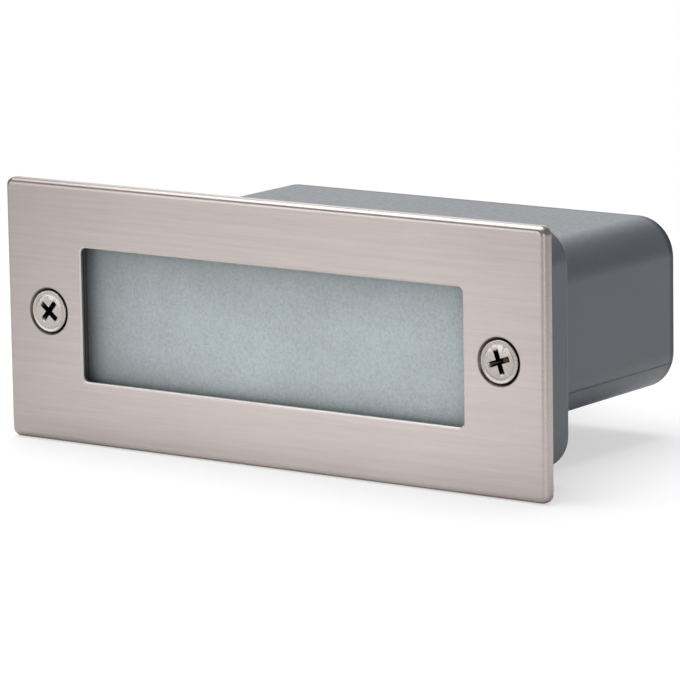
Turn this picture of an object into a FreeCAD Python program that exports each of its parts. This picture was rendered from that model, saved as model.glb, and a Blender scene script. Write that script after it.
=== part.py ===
import FreeCAD, Part
import math
import os

# Recessed step light. The origin is at the middle of the face plate's rear rim, in the plane of the wall.
# X runs to the right as the light is seen, Y into the wall and Z up. Millimetres.

# Edges nearer than this to a plane or line count as lying on it
coincidence = 1e-6

# Running and assembly gaps
thread_gap = 0.05
slip_gap = 0.1
assembly_gap = 0.2
hole_gap = 0.3

# Face plate, pressed from stainless sheet
plate_sheet = 0.8
plate_depth = 2.0
plate_corner_radius = 1.5
plate_edge_radius = 1.1
plate_overhang_x = 5.0
plate_overhang_z = 2.5
window_length = 78.0
window_height = 23.0
window_corner_radius = 1.0
window_edge = 0.3
dimple_wall = 0.8

# Glass pane in its U-section gasket
glass_thickness = 3.0
glass_overlap = 1.8
glass_corner_radius = 1.5
glass_front_lip = 0.7
glass_back_lip = 0.9
glass_gasket_wall = 1.0
lip_setback = 0.6

# Countersunk face screws, their rubber washers and threaded inserts
screw_radius = 2.0
screw_length = 12.0
screw_head_radius = 3.75
screw_head_rim = 0.3
screw_tip_chamfer = 0.5
screw_tip_room = 1.2
countersink_radius = 4.1
cross_radius = 2.1
cross_width = 0.95
cross_depth = 2.0
cross_point_radius = 0.5
cross_turn = {"left": 50.0, "right": 19.0}
screw_washer_radius = 2.6
screw_washer_thickness = 1.0
insert_radius = 2.8
insert_length = 6.0
boss_inner_wall = 1.3
boss_outer_wall = 1.2
boss_floor = 1.8

# Cast housing: a collar behind the plate and a narrower box behind the collar
collar_wall_z = 5.6
collar_corner_radius = 6.0
cavity_margin = 1.0
box_wall = 2.3
box_corner_radius = 6.7
box_depth = 58.0
back_wall = 2.5
cast_edge = 0.8

# Light engine
reflector_wall = 0.8
reflector_front_room = 0.3
reflector_depth = 11.1
reflector_back_height = 12.0
reflector_back_corner = 2.5
led_board_thickness = 1.6
led_board_height = 16.0
led_board_corner_radius = 1.0
led_columns = 6
led_rows = 2
led_length = 3.5
led_width = 2.8
led_height = 0.8
led_lens_inset = 0.5
led_lens_height = 0.25
mounting_plate_thickness = 2.0

# Hexagon-head screws that hold the light engine
board_screw_radius = 1.5
board_screw_length = 8.0
board_screw_across_flats = 5.5
board_screw_head_height = 2.0
board_screw_head_room = 2.4
board_screw_tip_room = 2.0
column_radius = 2.8

# Driver board in its guide rails
driver_board_thickness = 1.6
driver_front_room = 1.4
driver_back_room = 1.0
driver_top_room = 1.0
rail_depth = 1.5
rail_height = 0.9

# Parts on the driver board
component_room = 2.0
board_edge_room = 1.5
reservoir_radius = 4.0
reservoir_height = 11.5
smoothing_radius = 3.0
smoothing_height = 9.0
core_length = 14.0
core_width = 7.0
core_height = 12.0
core_leg = 2.6
core_centre_leg = 3.6
coil_overhang = 2.2
coil_corner_radius = 2.5
film_capacitor_size = (10.0, 5.0, 9.0)
rectifier_size = (8.0, 6.5, 2.6)
varistor_radius = 3.6
varistor_thickness = 3.0
fuse_radius = 4.0
fuse_height = 7.0
terminal_poles = 3
terminal_pitch = 5.0
terminal_width = 7.6
terminal_height = 10.0
terminal_well_radius = 1.9
terminal_wire_width = 2.6
terminal_wire_height = 3.0
terminal_screw_height = 2.2
terminal_screw_depth = 1.0
terminal_slot_width = 0.6
terminal_slot_depth = 1.1

# Leads from the driver to the light engine
lead_radius = 0.6
lead_spacing = 3.0
lead_bend_radius = 2.0

# Earth terminal on the back wall
earth_x = -24.0
earth_z = 6.0
earth_boss_radius = 3.6
earth_boss_height = 4.0
earth_screw_radius = 2.0
earth_screw_length = 4.8
earth_across_flats = 7.0
earth_head_height = 2.8
earth_tag_thickness = 0.8
earth_tag_radius = 4.4
earth_tab_length = 9.0
earth_tab_width = 3.0

# Cable gland through the back wall
gland_thread_radius = 6.0
gland_bore_radius = 4.0
gland_across_flats = 15.0
gland_flange_height = 4.0
gland_washer_thickness = 1.2
gland_washer_radius = 8.4
gland_lock_nut_height = 4.0
gland_inner_thread = 7.5
gland_outer_thread = 6.0
gland_seal_radius = 3.4
gland_seal_wall = 1.0
gland_seal_height = 5.0
gland_cap_height = 9.0
gland_grip_height = 5.0
gland_cap_end = 2.0
gland_cap_bore_radius = 3.6
gland_cap_room = 0.5

# Sizes that follow from the ones above
glass_length = window_length + 2 * glass_overlap
glass_height = window_height + 2 * glass_overlap
gasket_length = glass_length + 2 * glass_gasket_wall
gasket_height = glass_height + 2 * glass_gasket_wall
gasket_depth = glass_front_lip + glass_thickness + glass_back_lip
rebate_length = gasket_length + 2 * slip_gap
rebate_height = gasket_height + 2 * slip_gap
screw_x = rebate_length / 2 + boss_inner_wall + insert_radius
collar_length = 2 * (screw_x + insert_radius + boss_outer_wall)
collar_height = rebate_height + 2 * collar_wall_z
plate_length = collar_length + 2 * plate_overhang_x
plate_height = collar_height + 2 * plate_overhang_z
cavity_length = window_length + 2 * cavity_margin
cavity_height = window_height + 2 * cavity_margin
box_length = cavity_length + 2 * box_wall
box_height = cavity_height + 2 * box_wall
cavity_corner_radius = box_corner_radius - box_wall
cavity_back = box_depth - back_wall

sheet_back = plate_sheet - plate_depth
dimple_hole_radius = screw_radius + hole_gap
head_cone_front = countersink_radius - screw_head_radius - thread_gap - plate_depth
head_front = head_cone_front - screw_head_rim
head_cone_back = head_cone_front + screw_head_radius - screw_radius
screw_tip = head_front + screw_length
screw_washer_front = max(head_cone_back, 0.0) + thread_gap
screw_washer_back = screw_washer_front + screw_washer_thickness
insert_front = screw_washer_back + assembly_gap
insert_back = insert_front + insert_length
insert_pocket_radius = insert_radius + thread_gap / 2
screw_hole_end = max(screw_tip, insert_back) + screw_tip_room
collar_depth = screw_hole_end + boss_floor

reflector_front = gasket_depth + reflector_front_room
reflector_back = reflector_front + reflector_depth
led_board_back = reflector_back + led_board_thickness
mounting_plate_back = led_board_back + mounting_plate_thickness
board_screw_corner = board_screw_across_flats / math.sqrt(3)
board_screw_x = cavity_length / 2 - board_screw_corner - assembly_gap
reflector_back_length = 2 * (board_screw_x - board_screw_corner - board_screw_head_room)
led_pitch_x = (reflector_back_length - 2 * reflector_wall) / led_columns
led_pitch_z = (reflector_back_height - 2 * reflector_wall) / led_rows
led_board_length = cavity_length - 2 * assembly_gap - 2 * hole_gap

driver_board_top = -(gland_thread_radius + driver_top_room)
driver_board_bottom = driver_board_top - driver_board_thickness
driver_board_front = mounting_plate_back + driver_front_room
driver_board_back = cavity_back - gland_lock_nut_height - driver_back_room
driver_board_x = cavity_length / 2 - hole_gap

# The parts on the board stand side by side, from the right-hand column to the left.
column_side = board_screw_x - column_radius
reservoir_x = column_side - component_room - reservoir_radius
rectifier_x = reservoir_x - reservoir_radius - component_room - rectifier_size[0] / 2
film_capacitor_x = rectifier_x - (rectifier_size[0] + film_capacitor_size[0]) / 2 - component_room
transformer_x = film_capacitor_x - (film_capacitor_size[0] + core_length) / 2 - component_room
lead_x = transformer_x - core_length / 2 - component_room - lead_radius
fuse_x = component_room + fuse_radius - column_side
front_row_y = driver_board_front + board_edge_room
back_row_y = driver_board_back - board_edge_room
transformer_y = front_row_y + coil_overhang + core_width / 2

earth_seat = cavity_back - earth_boss_height
gland_flange_front = box_depth + gland_washer_thickness
gland_flange_back = gland_flange_front + gland_flange_height
gland_seal_outer = gland_thread_radius - gland_seal_wall


# A closed outline in the plane y, centred on the Y axis, with quarter-round corners.
def rounded_outline(length, height, radius, y):
    half_x, half_z = length / 2, height / 2
    inner_x, inner_z = half_x - radius, half_z - radius
    dip = radius * (1 - math.sqrt(0.5))
    edges = []
    for sign_x, sign_z in ((1, 1), (-1, 1), (-1, -1), (1, -1)):
        side = FreeCAD.Vector(sign_x * half_x, y, sign_z * inner_z)
        middle = FreeCAD.Vector(sign_x * (half_x - dip), y, sign_z * (half_z - dip))
        top = FreeCAD.Vector(sign_x * inner_x, y, sign_z * half_z)
        corner = (side, middle, top) if sign_x * sign_z > 0 else (top, middle, side)
        if edges:
            edges.append(Part.LineSegment(edges[-1].EndPoint, corner[0]))
        edges.append(Part.Arc(*corner))
    edges.append(Part.LineSegment(edges[-1].EndPoint, edges[0].StartPoint))
    return Part.Wire([edge.toShape() for edge in edges])


def rounded_prism(length, height, radius, y_front, y_back):
    face = Part.Face(rounded_outline(length, height, radius, y_front))
    return face.extrude(FreeCAD.Vector(0, y_back - y_front, 0))


# The corners of a rectangle in the plane y with its corners cut off at 45 degrees.
def cut_rectangle(length, height, corner, y):
    half_x, half_z = length / 2, height / 2
    points = []
    for sign_x, sign_z in ((1, 1), (-1, 1), (-1, -1), (1, -1)):
        side = FreeCAD.Vector(sign_x * half_x, y, sign_z * (half_z - corner))
        top = FreeCAD.Vector(sign_x * (half_x - corner), y, sign_z * half_z)
        points += [side, top] if sign_x * sign_z > 0 else [top, side]
    return points


def polygon_face(points):
    return Part.Face(Part.makePolygon(points + points[:1]))


# A flat-sided block that tapers from one such rectangle to another.
def tapered_block(front, back, y_front, y_back):
    near = cut_rectangle(*front, y_front)
    far = cut_rectangle(*back, y_back)
    faces = [polygon_face(near), polygon_face(far)]
    for place, corner in enumerate(near):
        faces.append(polygon_face([near[place - 1], corner, far[place], far[place - 1]]))
    return Part.makeSolid(Part.makeShell(faces))


def block(x, y, z):
    return Part.makeBox(x[1] - x[0], y[1] - y[0], z[1] - z[0], FreeCAD.Vector(x[0], y[0], z[0]))


# A rod or disc whose axis runs along Y, at the given x and z.
def disc(radius, y_front, y_back, x=0.0, z=0.0):
    return Part.makeCylinder(radius, y_back - y_front, FreeCAD.Vector(x, y_front, z), FreeCAD.Vector(0, 1, 0))


def ring(outer, inner, y_front, y_back, x=0.0, z=0.0):
    return disc(outer, y_front, y_back, x, z).cut(disc(inner, y_front, y_back, x, z))


# A piece turned about an axis along Y, from its half section as (radius, y) corners.
def turned(profile, x=0.0, z=0.0):
    points = [FreeCAD.Vector(radius, y, 0) for radius, y in profile]
    face = Part.Face(Part.makePolygon(points + points[:1]))
    solid = face.revolve(FreeCAD.Vector(0, 0, 0), FreeCAD.Vector(0, 1, 0), 360)
    solid.translate(FreeCAD.Vector(x, 0, z))
    return solid


# The corners of a hexagon of the given radius, with the first one to the right.
def hexagon_corners(radius, y, x=0.0, z=0.0):
    angles = [math.radians(60 * step) for step in range(7)]
    return [FreeCAD.Vector(x + radius * math.cos(angle), y, z + radius * math.sin(angle)) for angle in angles]


def hexagon(across_flats, y_front, y_back, x=0.0, z=0.0):
    outline = Part.makePolygon(hexagon_corners(across_flats / math.sqrt(3), y_front, x, z))
    return Part.Face(outline).extrude(FreeCAD.Vector(0, y_back - y_front, 0))


# The edges that lie wholly in the plane y.
def edges_in_plane(shape, y):
    return [edge for edge in shape.Edges
            if abs(edge.BoundBox.YMin - y) < coincidence and abs(edge.BoundBox.YMax - y) < coincidence]


def upright_edges(shape):
    return [edge for edge in shape.Edges
            if edge.BoundBox.XLength < coincidence and edge.BoundBox.YLength < coincidence]


def both_sides(make):
    return Part.makeCompound([make(side) for side in (-1, 1)])


def face_plate():
    plate = rounded_prism(plate_length, plate_height, plate_corner_radius, -plate_depth, 0)
    plate = plate.makeFillet(plate_edge_radius, edges_in_plane(plate, -plate_depth))
    inside_length = plate_length - 2 * plate_sheet
    inside_height = plate_height - 2 * plate_sheet
    inside_radius = plate_corner_radius - plate_sheet
    plate = plate.cut(rounded_prism(inside_length, inside_height, inside_radius, sheet_back, 0))
    window = rounded_prism(window_length, window_height, window_corner_radius, -plate_depth, 0)
    plate = plate.cut(window)
    window_box = window.BoundBox
    rim = [edge for edge in edges_in_plane(plate, -plate_depth) if window_box.isInside(edge.BoundBox)]
    plate = plate.makeChamfer(window_edge, rim)
    for side in (-1, 1):
        plate = plate.fuse(dimple(side * screw_x))
        plate = plate.cut(countersink(side * screw_x))
    return plate.removeSplitter()


# The sheet is pressed back in a cone, so that the countersunk head lies flush.
def dimple(x):
    spread = dimple_wall * math.sqrt(2)
    front = countersink_radius - plate_sheet + spread
    back = max(countersink_radius - plate_depth + spread, dimple_hole_radius + dimple_wall)
    inside_sheet = sheet_back - plate_sheet / 2
    return turned([(0, inside_sheet), (front, inside_sheet), (front, sheet_back), (back, 0), (0, 0)], x)


def countersink(x):
    cone_back = countersink_radius - dimple_hole_radius - plate_depth
    return turned([(0, -plate_depth), (countersink_radius, -plate_depth), (dimple_hole_radius, cone_back),
                   (dimple_hole_radius, 0), (0, 0)], x)


# A die-cut foam sheet that lies inside the plate's rim and seals it to the housing and the wall.
def face_gasket():
    length = plate_length - 2 * (plate_sheet + assembly_gap)
    height = plate_height - 2 * (plate_sheet + assembly_gap)
    sheet = rounded_prism(length, height, plate_corner_radius, sheet_back, 0)
    opening = (window_length + 2 * lip_setback, window_height + 2 * lip_setback)
    sheet = sheet.cut(rounded_prism(*opening, window_corner_radius, sheet_back, 0))
    hole_radius = countersink_radius - plate_sheet + dimple_wall * math.sqrt(2) + assembly_gap
    for side in (-1, 1):
        sheet = sheet.cut(disc(hole_radius, sheet_back, 0, side * screw_x))
    return sheet


# Countersunk cross-head screw. The cross recess narrows to a point.
def face_screw(side_name):
    x = screw_x if side_name == "right" else -screw_x
    screw = turned([
        (0, head_front), (screw_head_radius, head_front), (screw_head_radius, head_cone_front),
        (screw_radius, head_cone_back), (screw_radius, screw_tip - screw_tip_chamfer),
        (screw_radius - screw_tip_chamfer, screw_tip), (0, screw_tip),
    ])
    cross_back = head_front + cross_depth
    cone = turned([(0, head_front), (cross_radius, head_front), (cross_point_radius, cross_back),
                   (0, cross_back)])
    arm = (-cross_width / 2, cross_width / 2)
    reach = (-cross_radius, cross_radius)
    depth = (head_front, cross_back)
    cross = block(reach, depth, arm).fuse(block(arm, depth, reach)).common(cone)
    cross.rotate(FreeCAD.Vector(0, 0, 0), FreeCAD.Vector(0, -1, 0), cross_turn[side_name])
    screw = screw.cut(cross)
    screw.translate(FreeCAD.Vector(x, 0, 0))
    return screw


# Rubber washers seal the holes and hold the screws captive in the plate.
def screw_washers():
    bore = screw_radius + thread_gap
    return both_sides(lambda side: ring(screw_washer_radius, bore, screw_washer_front, screw_washer_back,
                                        side * screw_x))


def screw_inserts():
    bore = screw_radius + thread_gap
    return both_sides(lambda side: ring(insert_radius, bore, insert_front, insert_back, side * screw_x))


def glass_pane():
    back = glass_front_lip + glass_thickness
    return rounded_prism(glass_length, glass_height, glass_corner_radius, glass_front_lip, back)


# Silicone channel round the glass. Its lips stay just out of sight behind the window's edge.
def glass_gasket():
    corner = glass_corner_radius + glass_gasket_wall
    seal = rounded_prism(gasket_length, gasket_height, corner, 0, gasket_depth)
    opening = (window_length + 2 * lip_setback, window_height + 2 * lip_setback)
    seal = seal.cut(rounded_prism(*opening, window_corner_radius, 0, gasket_depth))
    return seal.cut(glass_pane())


# The casting: collar, box, glass rebate, screw bosses, columns, board rails and earth boss.
def housing():
    collar = rounded_prism(collar_length, collar_height, collar_corner_radius, 0, collar_depth)
    collar = collar.makeChamfer(cast_edge, edges_in_plane(collar, collar_depth))
    box = rounded_prism(box_length, box_height, box_corner_radius, collar_depth / 2, box_depth)
    box = box.makeChamfer(cast_edge, edges_in_plane(box, box_depth))
    body = collar.fuse(box)
    corner = glass_corner_radius + glass_gasket_wall + slip_gap
    body = body.cut(rounded_prism(rebate_length, rebate_height, corner, 0, gasket_depth))
    cavity = rounded_prism(cavity_length, cavity_height, cavity_corner_radius, gasket_depth, cavity_back)
    body = body.cut(cavity)
    hole_end = reflector_back + board_screw_length + board_screw_tip_room
    for side in (-1, 1):
        body = body.cut(screw_pocket(side * screw_x))
        body = body.fuse([column(side)] + board_rails(side))
        hole = disc(board_screw_radius + thread_gap, mounting_plate_back, hole_end, side * board_screw_x)
        body = body.cut(hole)
    body = body.fuse(disc(earth_boss_radius, earth_seat, cavity_back + back_wall / 2, earth_x, earth_z))
    body = body.cut(disc(earth_screw_radius + thread_gap, earth_seat, cavity_back, earth_x, earth_z))
    body = body.cut(disc(gland_thread_radius + slip_gap, cavity_back, box_depth))
    return body.removeSplitter()


# Pocket for the washer and insert, and behind it the clear hole for the screw's tip.
def screw_pocket(x):
    pocket = disc(insert_pocket_radius, 0, insert_back, x)
    return pocket.fuse(disc(screw_radius + hole_gap, 0, screw_hole_end, x))


# A column along each end wall carries the mounting plate and takes its screw.
def column(side):
    wall_x = cavity_length / 2 + box_wall / 2
    round_part = disc(column_radius, mounting_plate_back, cavity_back + back_wall / 2, side * board_screw_x)
    span = sorted((side * board_screw_x, side * wall_x))
    web = block(span, (mounting_plate_back, cavity_back + back_wall / 2), (-column_radius, column_radius))
    return round_part.fuse(web)


# Two rails on each end wall hold the driver board's edge, and a stop ends the groove.
def board_rails(side):
    wall_x = cavity_length / 2 + box_wall / 2
    span = sorted((side * (cavity_length / 2 - rail_depth), side * wall_x))
    low = driver_board_bottom - slip_gap
    high = driver_board_top + slip_gap
    length = (driver_board_front, cavity_back + back_wall / 2)
    stop = (driver_board_back + slip_gap, cavity_back + back_wall / 2)
    return [
        block(span, length, (low - rail_height, low)),
        block(span, length, (high, high + rail_height)),
        block(span, stop, (low, high)),
    ]


# White tray that narrows from the window to the field of lamps and stands on the lamp board.
def reflector():
    front = (cavity_length - 2 * assembly_gap, cavity_height - 2 * assembly_gap, cavity_corner_radius)
    back = (reflector_back_length, reflector_back_height, reflector_back_corner)
    tray = tapered_block(front, back, reflector_front, reflector_back)
    floor_front = reflector_back - reflector_wall
    hollow = tapered_block(inset(front), inset(back), reflector_front, reflector_back)
    hollow = hollow.common(block((-cavity_length, cavity_length), (reflector_front, floor_front),
                                 (-cavity_height, cavity_height)))
    tray = tray.cut(hollow)
    for x, z in lamp_places():
        hole_x = (x - led_length / 2 - hole_gap, x + led_length / 2 + hole_gap)
        hole_z = (z - led_width / 2 - hole_gap, z + led_width / 2 + hole_gap)
        tray = tray.cut(block(hole_x, (floor_front, reflector_back), hole_z))
    return tray


# The inside of a cut outline, one wall further in on every side.
def inset(outline):
    length, height, corner = outline
    inner_corner = corner - reflector_wall * (2 - math.sqrt(2))
    return length - 2 * reflector_wall, height - 2 * reflector_wall, inner_corner


def lamp_places():
    for row in range(led_rows):
        for place in range(led_columns):
            x = (place - (led_columns - 1) / 2) * led_pitch_x
            z = (row - (led_rows - 1) / 2) * led_pitch_z
            yield x, z


# Each lamp is a flat block with a low raised lens.
def leds():
    lamps = []
    front = reflector_back - led_height
    for x, z in lamp_places():
        body = lamp_block(x, z, 0.0, front, reflector_back)
        lens = lamp_block(x, z, led_lens_inset, front - led_lens_height, front)
        lamps.append(body.fuse(lens))
    return Part.makeCompound(lamps)


def lamp_block(x, z, inset_by, y_front, y_back):
    half_x = led_length / 2 - inset_by
    half_z = led_width / 2 - inset_by
    return block((x - half_x, x + half_x), (y_front, y_back), (z - half_z, z + half_z))


# The two leads pass between the rows of lamps.
def lead_places():
    return [lead_x - lead_spacing, lead_x]


def lead_slot(gap, y_front, y_back):
    half = lead_radius + gap
    places = lead_places()
    return block((places[0] - half, places[-1] + half), (y_front, y_back), (-half, half))


def led_board():
    size = (led_board_length, led_board_height)
    board = rounded_prism(*size, led_board_corner_radius, reflector_back, led_board_back)
    hole_radius = board_screw_radius + assembly_gap
    for side in (-1, 1):
        board = board.cut(disc(hole_radius, reflector_back, led_board_back, side * board_screw_x))
    return board.cut(lead_slot(slip_gap, reflector_back, led_board_back))


# Aluminium plate behind the lamp board. It spreads the heat and closes the driver's space.
def mounting_plate():
    size = (cavity_length - 2 * hole_gap, cavity_height - 2 * hole_gap)
    plate = rounded_prism(*size, cavity_corner_radius - hole_gap, led_board_back, mounting_plate_back)
    hole_radius = board_screw_radius + assembly_gap
    for side in (-1, 1):
        plate = plate.cut(disc(hole_radius, led_board_back, mounting_plate_back, side * board_screw_x))
    return plate.cut(lead_slot(hole_gap, led_board_back, mounting_plate_back))


# A hexagon-head screw whose seat is in the plane y, pointing along +Y. Its shank is (radius, length) and its
# head (across flats, height).
def hexagon_screw(shank, head, y, x, z=0.0):
    across_flats, height = head
    radius, length = shank
    return hexagon(across_flats, y - height, y, x, z).fuse(disc(radius, y - height / 2, y + length, x, z))


def board_screws():
    shank = (board_screw_radius, board_screw_length)
    head = (board_screw_across_flats, board_screw_head_height)
    return both_sides(lambda side: hexagon_screw(shank, head, reflector_back, side * board_screw_x))


def driver_board():
    return block((-driver_board_x, driver_board_x), (driver_board_front, driver_board_back),
                 (driver_board_bottom, driver_board_top))


# An upright rod on the driver board.
def upright(radius, height, x, y, base=driver_board_top):
    return Part.makeCylinder(radius, height, FreeCAD.Vector(x, y, base), FreeCAD.Vector(0, 0, 1))


def can_capacitors():
    return Part.makeCompound([
        upright(reservoir_radius, reservoir_height, reservoir_x, front_row_y + reservoir_radius),
        upright(smoothing_radius, smoothing_height, reservoir_x, back_row_y - smoothing_radius),
    ])


# Core of three legs between two yokes, standing on the board.
def transformer_core():
    half_x = core_length / 2
    y = (transformer_y - core_width / 2, transformer_y + core_width / 2)
    top = driver_board_top + core_height
    core = block((transformer_x - half_x, transformer_x + half_x), y, (driver_board_top, top))
    for side in (-1, 1):
        gap = sorted((transformer_x + side * core_centre_leg / 2, transformer_x + side * (half_x - core_leg)))
        core = core.cut(block(gap, y, (driver_board_top + core_leg, top - core_leg)))
    return core


# Taped winding round the core's middle leg.
def transformer_coil():
    low = driver_board_top + core_leg + slip_gap
    high = driver_board_top + core_height - core_leg - slip_gap
    half_x = core_length / 2 - core_leg - slip_gap
    half_y = core_width / 2 + coil_overhang
    coil = block((-half_x, half_x), (-half_y, half_y), (low, high))
    coil = coil.makeFillet(coil_corner_radius, upright_edges(coil))
    leg_x = core_centre_leg / 2 + slip_gap
    leg_y = core_width / 2 + slip_gap
    coil = coil.cut(block((-leg_x, leg_x), (-leg_y, leg_y), (low, high)))
    coil.translate(FreeCAD.Vector(transformer_x, transformer_y, 0))
    return coil


# A box-shaped part in the front row on the board.
def front_row_block(size, x):
    length, width, height = size
    return block((x - length / 2, x + length / 2), (front_row_y, front_row_y + width),
                 (driver_board_top, driver_board_top + height))


def film_capacitor():
    return front_row_block(film_capacitor_size, film_capacitor_x)


def bridge_rectifier():
    return front_row_block(rectifier_size, rectifier_x)


# A lacquered disc that stands on its rim.
def varistor():
    return disc(varistor_radius, back_row_y - varistor_thickness, back_row_y, rectifier_x,
                driver_board_top + varistor_radius)


def fuse():
    return upright(fuse_radius, fuse_height, fuse_x, back_row_y - fuse_radius)


def terminal_places():
    return [(pole - (terminal_poles - 1) / 2) * terminal_pitch for pole in range(terminal_poles)]


# Screw terminals near the cable entry: a well on top and a wire hole at the back for each pole.
def terminal_block():
    half_x = terminal_poles * terminal_pitch / 2
    front = back_row_y - terminal_width
    top = driver_board_top + terminal_height
    body = block((-half_x, half_x), (front, back_row_y), (driver_board_top, top))
    middle = (front + back_row_y) / 2
    well_depth = terminal_screw_height + terminal_screw_depth
    half = terminal_wire_width / 2
    wire_z = driver_board_top + terminal_wire_height
    for x in terminal_places():
        body = body.cut(upright(terminal_well_radius, well_depth, x, middle, top - well_depth))
        body = body.cut(block((x - half, x + half), (middle, back_row_y), (wire_z - half, wire_z + half)))
    return body


def terminal_screws():
    middle = back_row_y - terminal_width / 2
    base = driver_board_top + terminal_height - terminal_screw_height - terminal_screw_depth
    top = base + terminal_screw_height
    radius = terminal_well_radius - thread_gap
    half = terminal_slot_width / 2
    screws = []
    for x in terminal_places():
        screw = upright(radius, terminal_screw_height, x, middle, base)
        slot_z = (top - terminal_slot_depth, top)
        screws.append(screw.cut(block((x - radius, x + radius), (middle - half, middle + half), slot_z)))
    return Part.makeCompound(screws)


# Two insulated leads: up from the driver board, round a bend and forward to the lamp board.
def led_leads():
    leads = []
    bend = lead_bend_radius
    start_y = front_row_y + bend
    dip = bend * (1 - math.sqrt(0.5))
    for x in lead_places():
        foot = FreeCAD.Vector(x, start_y, driver_board_top)
        low = FreeCAD.Vector(x, start_y, -bend)
        middle = FreeCAD.Vector(x, start_y - dip, -dip)
        high = FreeCAD.Vector(x, start_y - bend, 0)
        end = FreeCAD.Vector(x, reflector_back, 0)
        elbow = Part.Arc(low, middle, high).toShape()
        route = Part.Wire([Part.makeLine(foot, low), elbow, Part.makeLine(high, end)])
        section = Part.makePolygon(hexagon_corners(lead_radius, 0))
        section.rotate(FreeCAD.Vector(0, 0, 0), FreeCAD.Vector(1, 0, 0), 90)
        section.translate(foot)
        leads.append(route.makePipeShell([section], True, False))
    return Part.makeCompound(leads)


def earth_tag():
    front = earth_seat - earth_tag_thickness
    tag = disc(earth_tag_radius, front, earth_seat, earth_x, earth_z)
    tab_z = (earth_z - earth_tab_width / 2, earth_z + earth_tab_width / 2)
    tag = tag.fuse(block((earth_x, earth_x + earth_tab_length), (front, earth_seat), tab_z))
    hole = disc(earth_screw_radius + assembly_gap, front, earth_seat, earth_x, earth_z)
    return tag.cut(hole).removeSplitter()


def earth_screw():
    shank = (earth_screw_radius, earth_screw_length)
    head = (earth_across_flats, earth_head_height)
    return hexagon_screw(shank, head, earth_seat - earth_tag_thickness, earth_x, earth_z)


def gland_washer():
    return ring(gland_washer_radius, gland_thread_radius + slip_gap, box_depth, gland_flange_front)


# Gland body: a thread through the back wall, a hexagon flange outside it and a shorter thread for the cap.
def gland_body():
    thread_front = box_depth - gland_inner_thread
    thread_back = gland_flange_back + gland_outer_thread
    body = disc(gland_thread_radius, thread_front, thread_back)
    body = body.fuse(hexagon(gland_across_flats, gland_flange_front, gland_flange_back))
    seat = thread_back - gland_seal_height
    body = body.cut(disc(gland_bore_radius, thread_front, seat))
    return body.cut(disc(gland_seal_outer, seat, thread_back)).removeSplitter()


# Rubber bush that the cap squeezes on to the cable.
def gland_seal():
    back = gland_flange_back + gland_outer_thread
    return ring(gland_seal_outer - thread_gap, gland_seal_radius, back - gland_seal_height, back)


def gland_lock_nut():
    nut = hexagon(gland_across_flats, cavity_back - gland_lock_nut_height, cavity_back)
    return nut.cut(disc(gland_thread_radius + thread_gap, cavity_back - gland_lock_nut_height, cavity_back))


# Cap: a hexagon for the spanner, then a cone that closes on to the cable hole.
def gland_cap():
    front = gland_flange_back + gland_cap_room
    back = front + gland_cap_height
    grip_back = front + gland_grip_height
    end_radius = gland_cap_bore_radius + gland_cap_end
    cone = turned([(0, grip_back), (gland_across_flats / 2, grip_back), (end_radius, back), (0, back)])
    cap = hexagon(gland_across_flats, front, grip_back).fuse(cone)
    cap = cap.cut(disc(gland_thread_radius + thread_gap, front, back - gland_cap_end))
    return cap.cut(disc(gland_cap_bore_radius, front, back)).removeSplitter()


nodes = {
    "face_plate": face_plate,
    "face_gasket": face_gasket,
    "face_screw_left": lambda: face_screw("left"),
    "face_screw_right": lambda: face_screw("right"),
    "screw_washers": screw_washers,
    "screw_inserts": screw_inserts,
    "glass_pane": glass_pane,
    "glass_gasket": glass_gasket,
    "housing": housing,
    "reflector": reflector,
    "leds": leds,
    "led_board": led_board,
    "mounting_plate": mounting_plate,
    "board_screws": board_screws,
    "driver_board": driver_board,
    "can_capacitors": can_capacitors,
    "transformer_core": transformer_core,
    "transformer_coil": transformer_coil,
    "film_capacitor": film_capacitor,
    "bridge_rectifier": bridge_rectifier,
    "varistor": varistor,
    "fuse": fuse,
    "terminal_block": terminal_block,
    "terminal_screws": terminal_screws,
    "led_leads": led_leads,
    "earth_tag": earth_tag,
    "earth_screw": earth_screw,
    "gland_body": gland_body,
    "gland_washer": gland_washer,
    "gland_lock_nut": gland_lock_nut,
    "gland_seal": gland_seal,
    "gland_cap": gland_cap,
}

os.makedirs("parts", exist_ok=True)
for name, make in nodes.items():
    shape = make()
    shape.exportStep(f"parts/{name}.step")
    print(f"{name}: {len(shape.Solids)} solid(s), {shape.Volume:.1f} mm3")
print(f"plate {plate_length:.2f} x {plate_height:.2f}, collar {collar_length:.2f} x {collar_height:.2f}, "
      f"box {box_length:.2f} x {box_height:.2f}, screws at {screw_x:.2f}")
print(f"collar depth {collar_depth:.2f}, screw tip {screw_tip:.2f}, "
      f"insert {insert_front:.2f} to {insert_back:.2f}")
print(f"gland end {gland_flange_back + gland_cap_room + gland_cap_height:.2f}")
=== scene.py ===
import math
from contextlib import contextmanager

import bmesh
import bpy
from mathutils import Matrix, Vector


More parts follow.
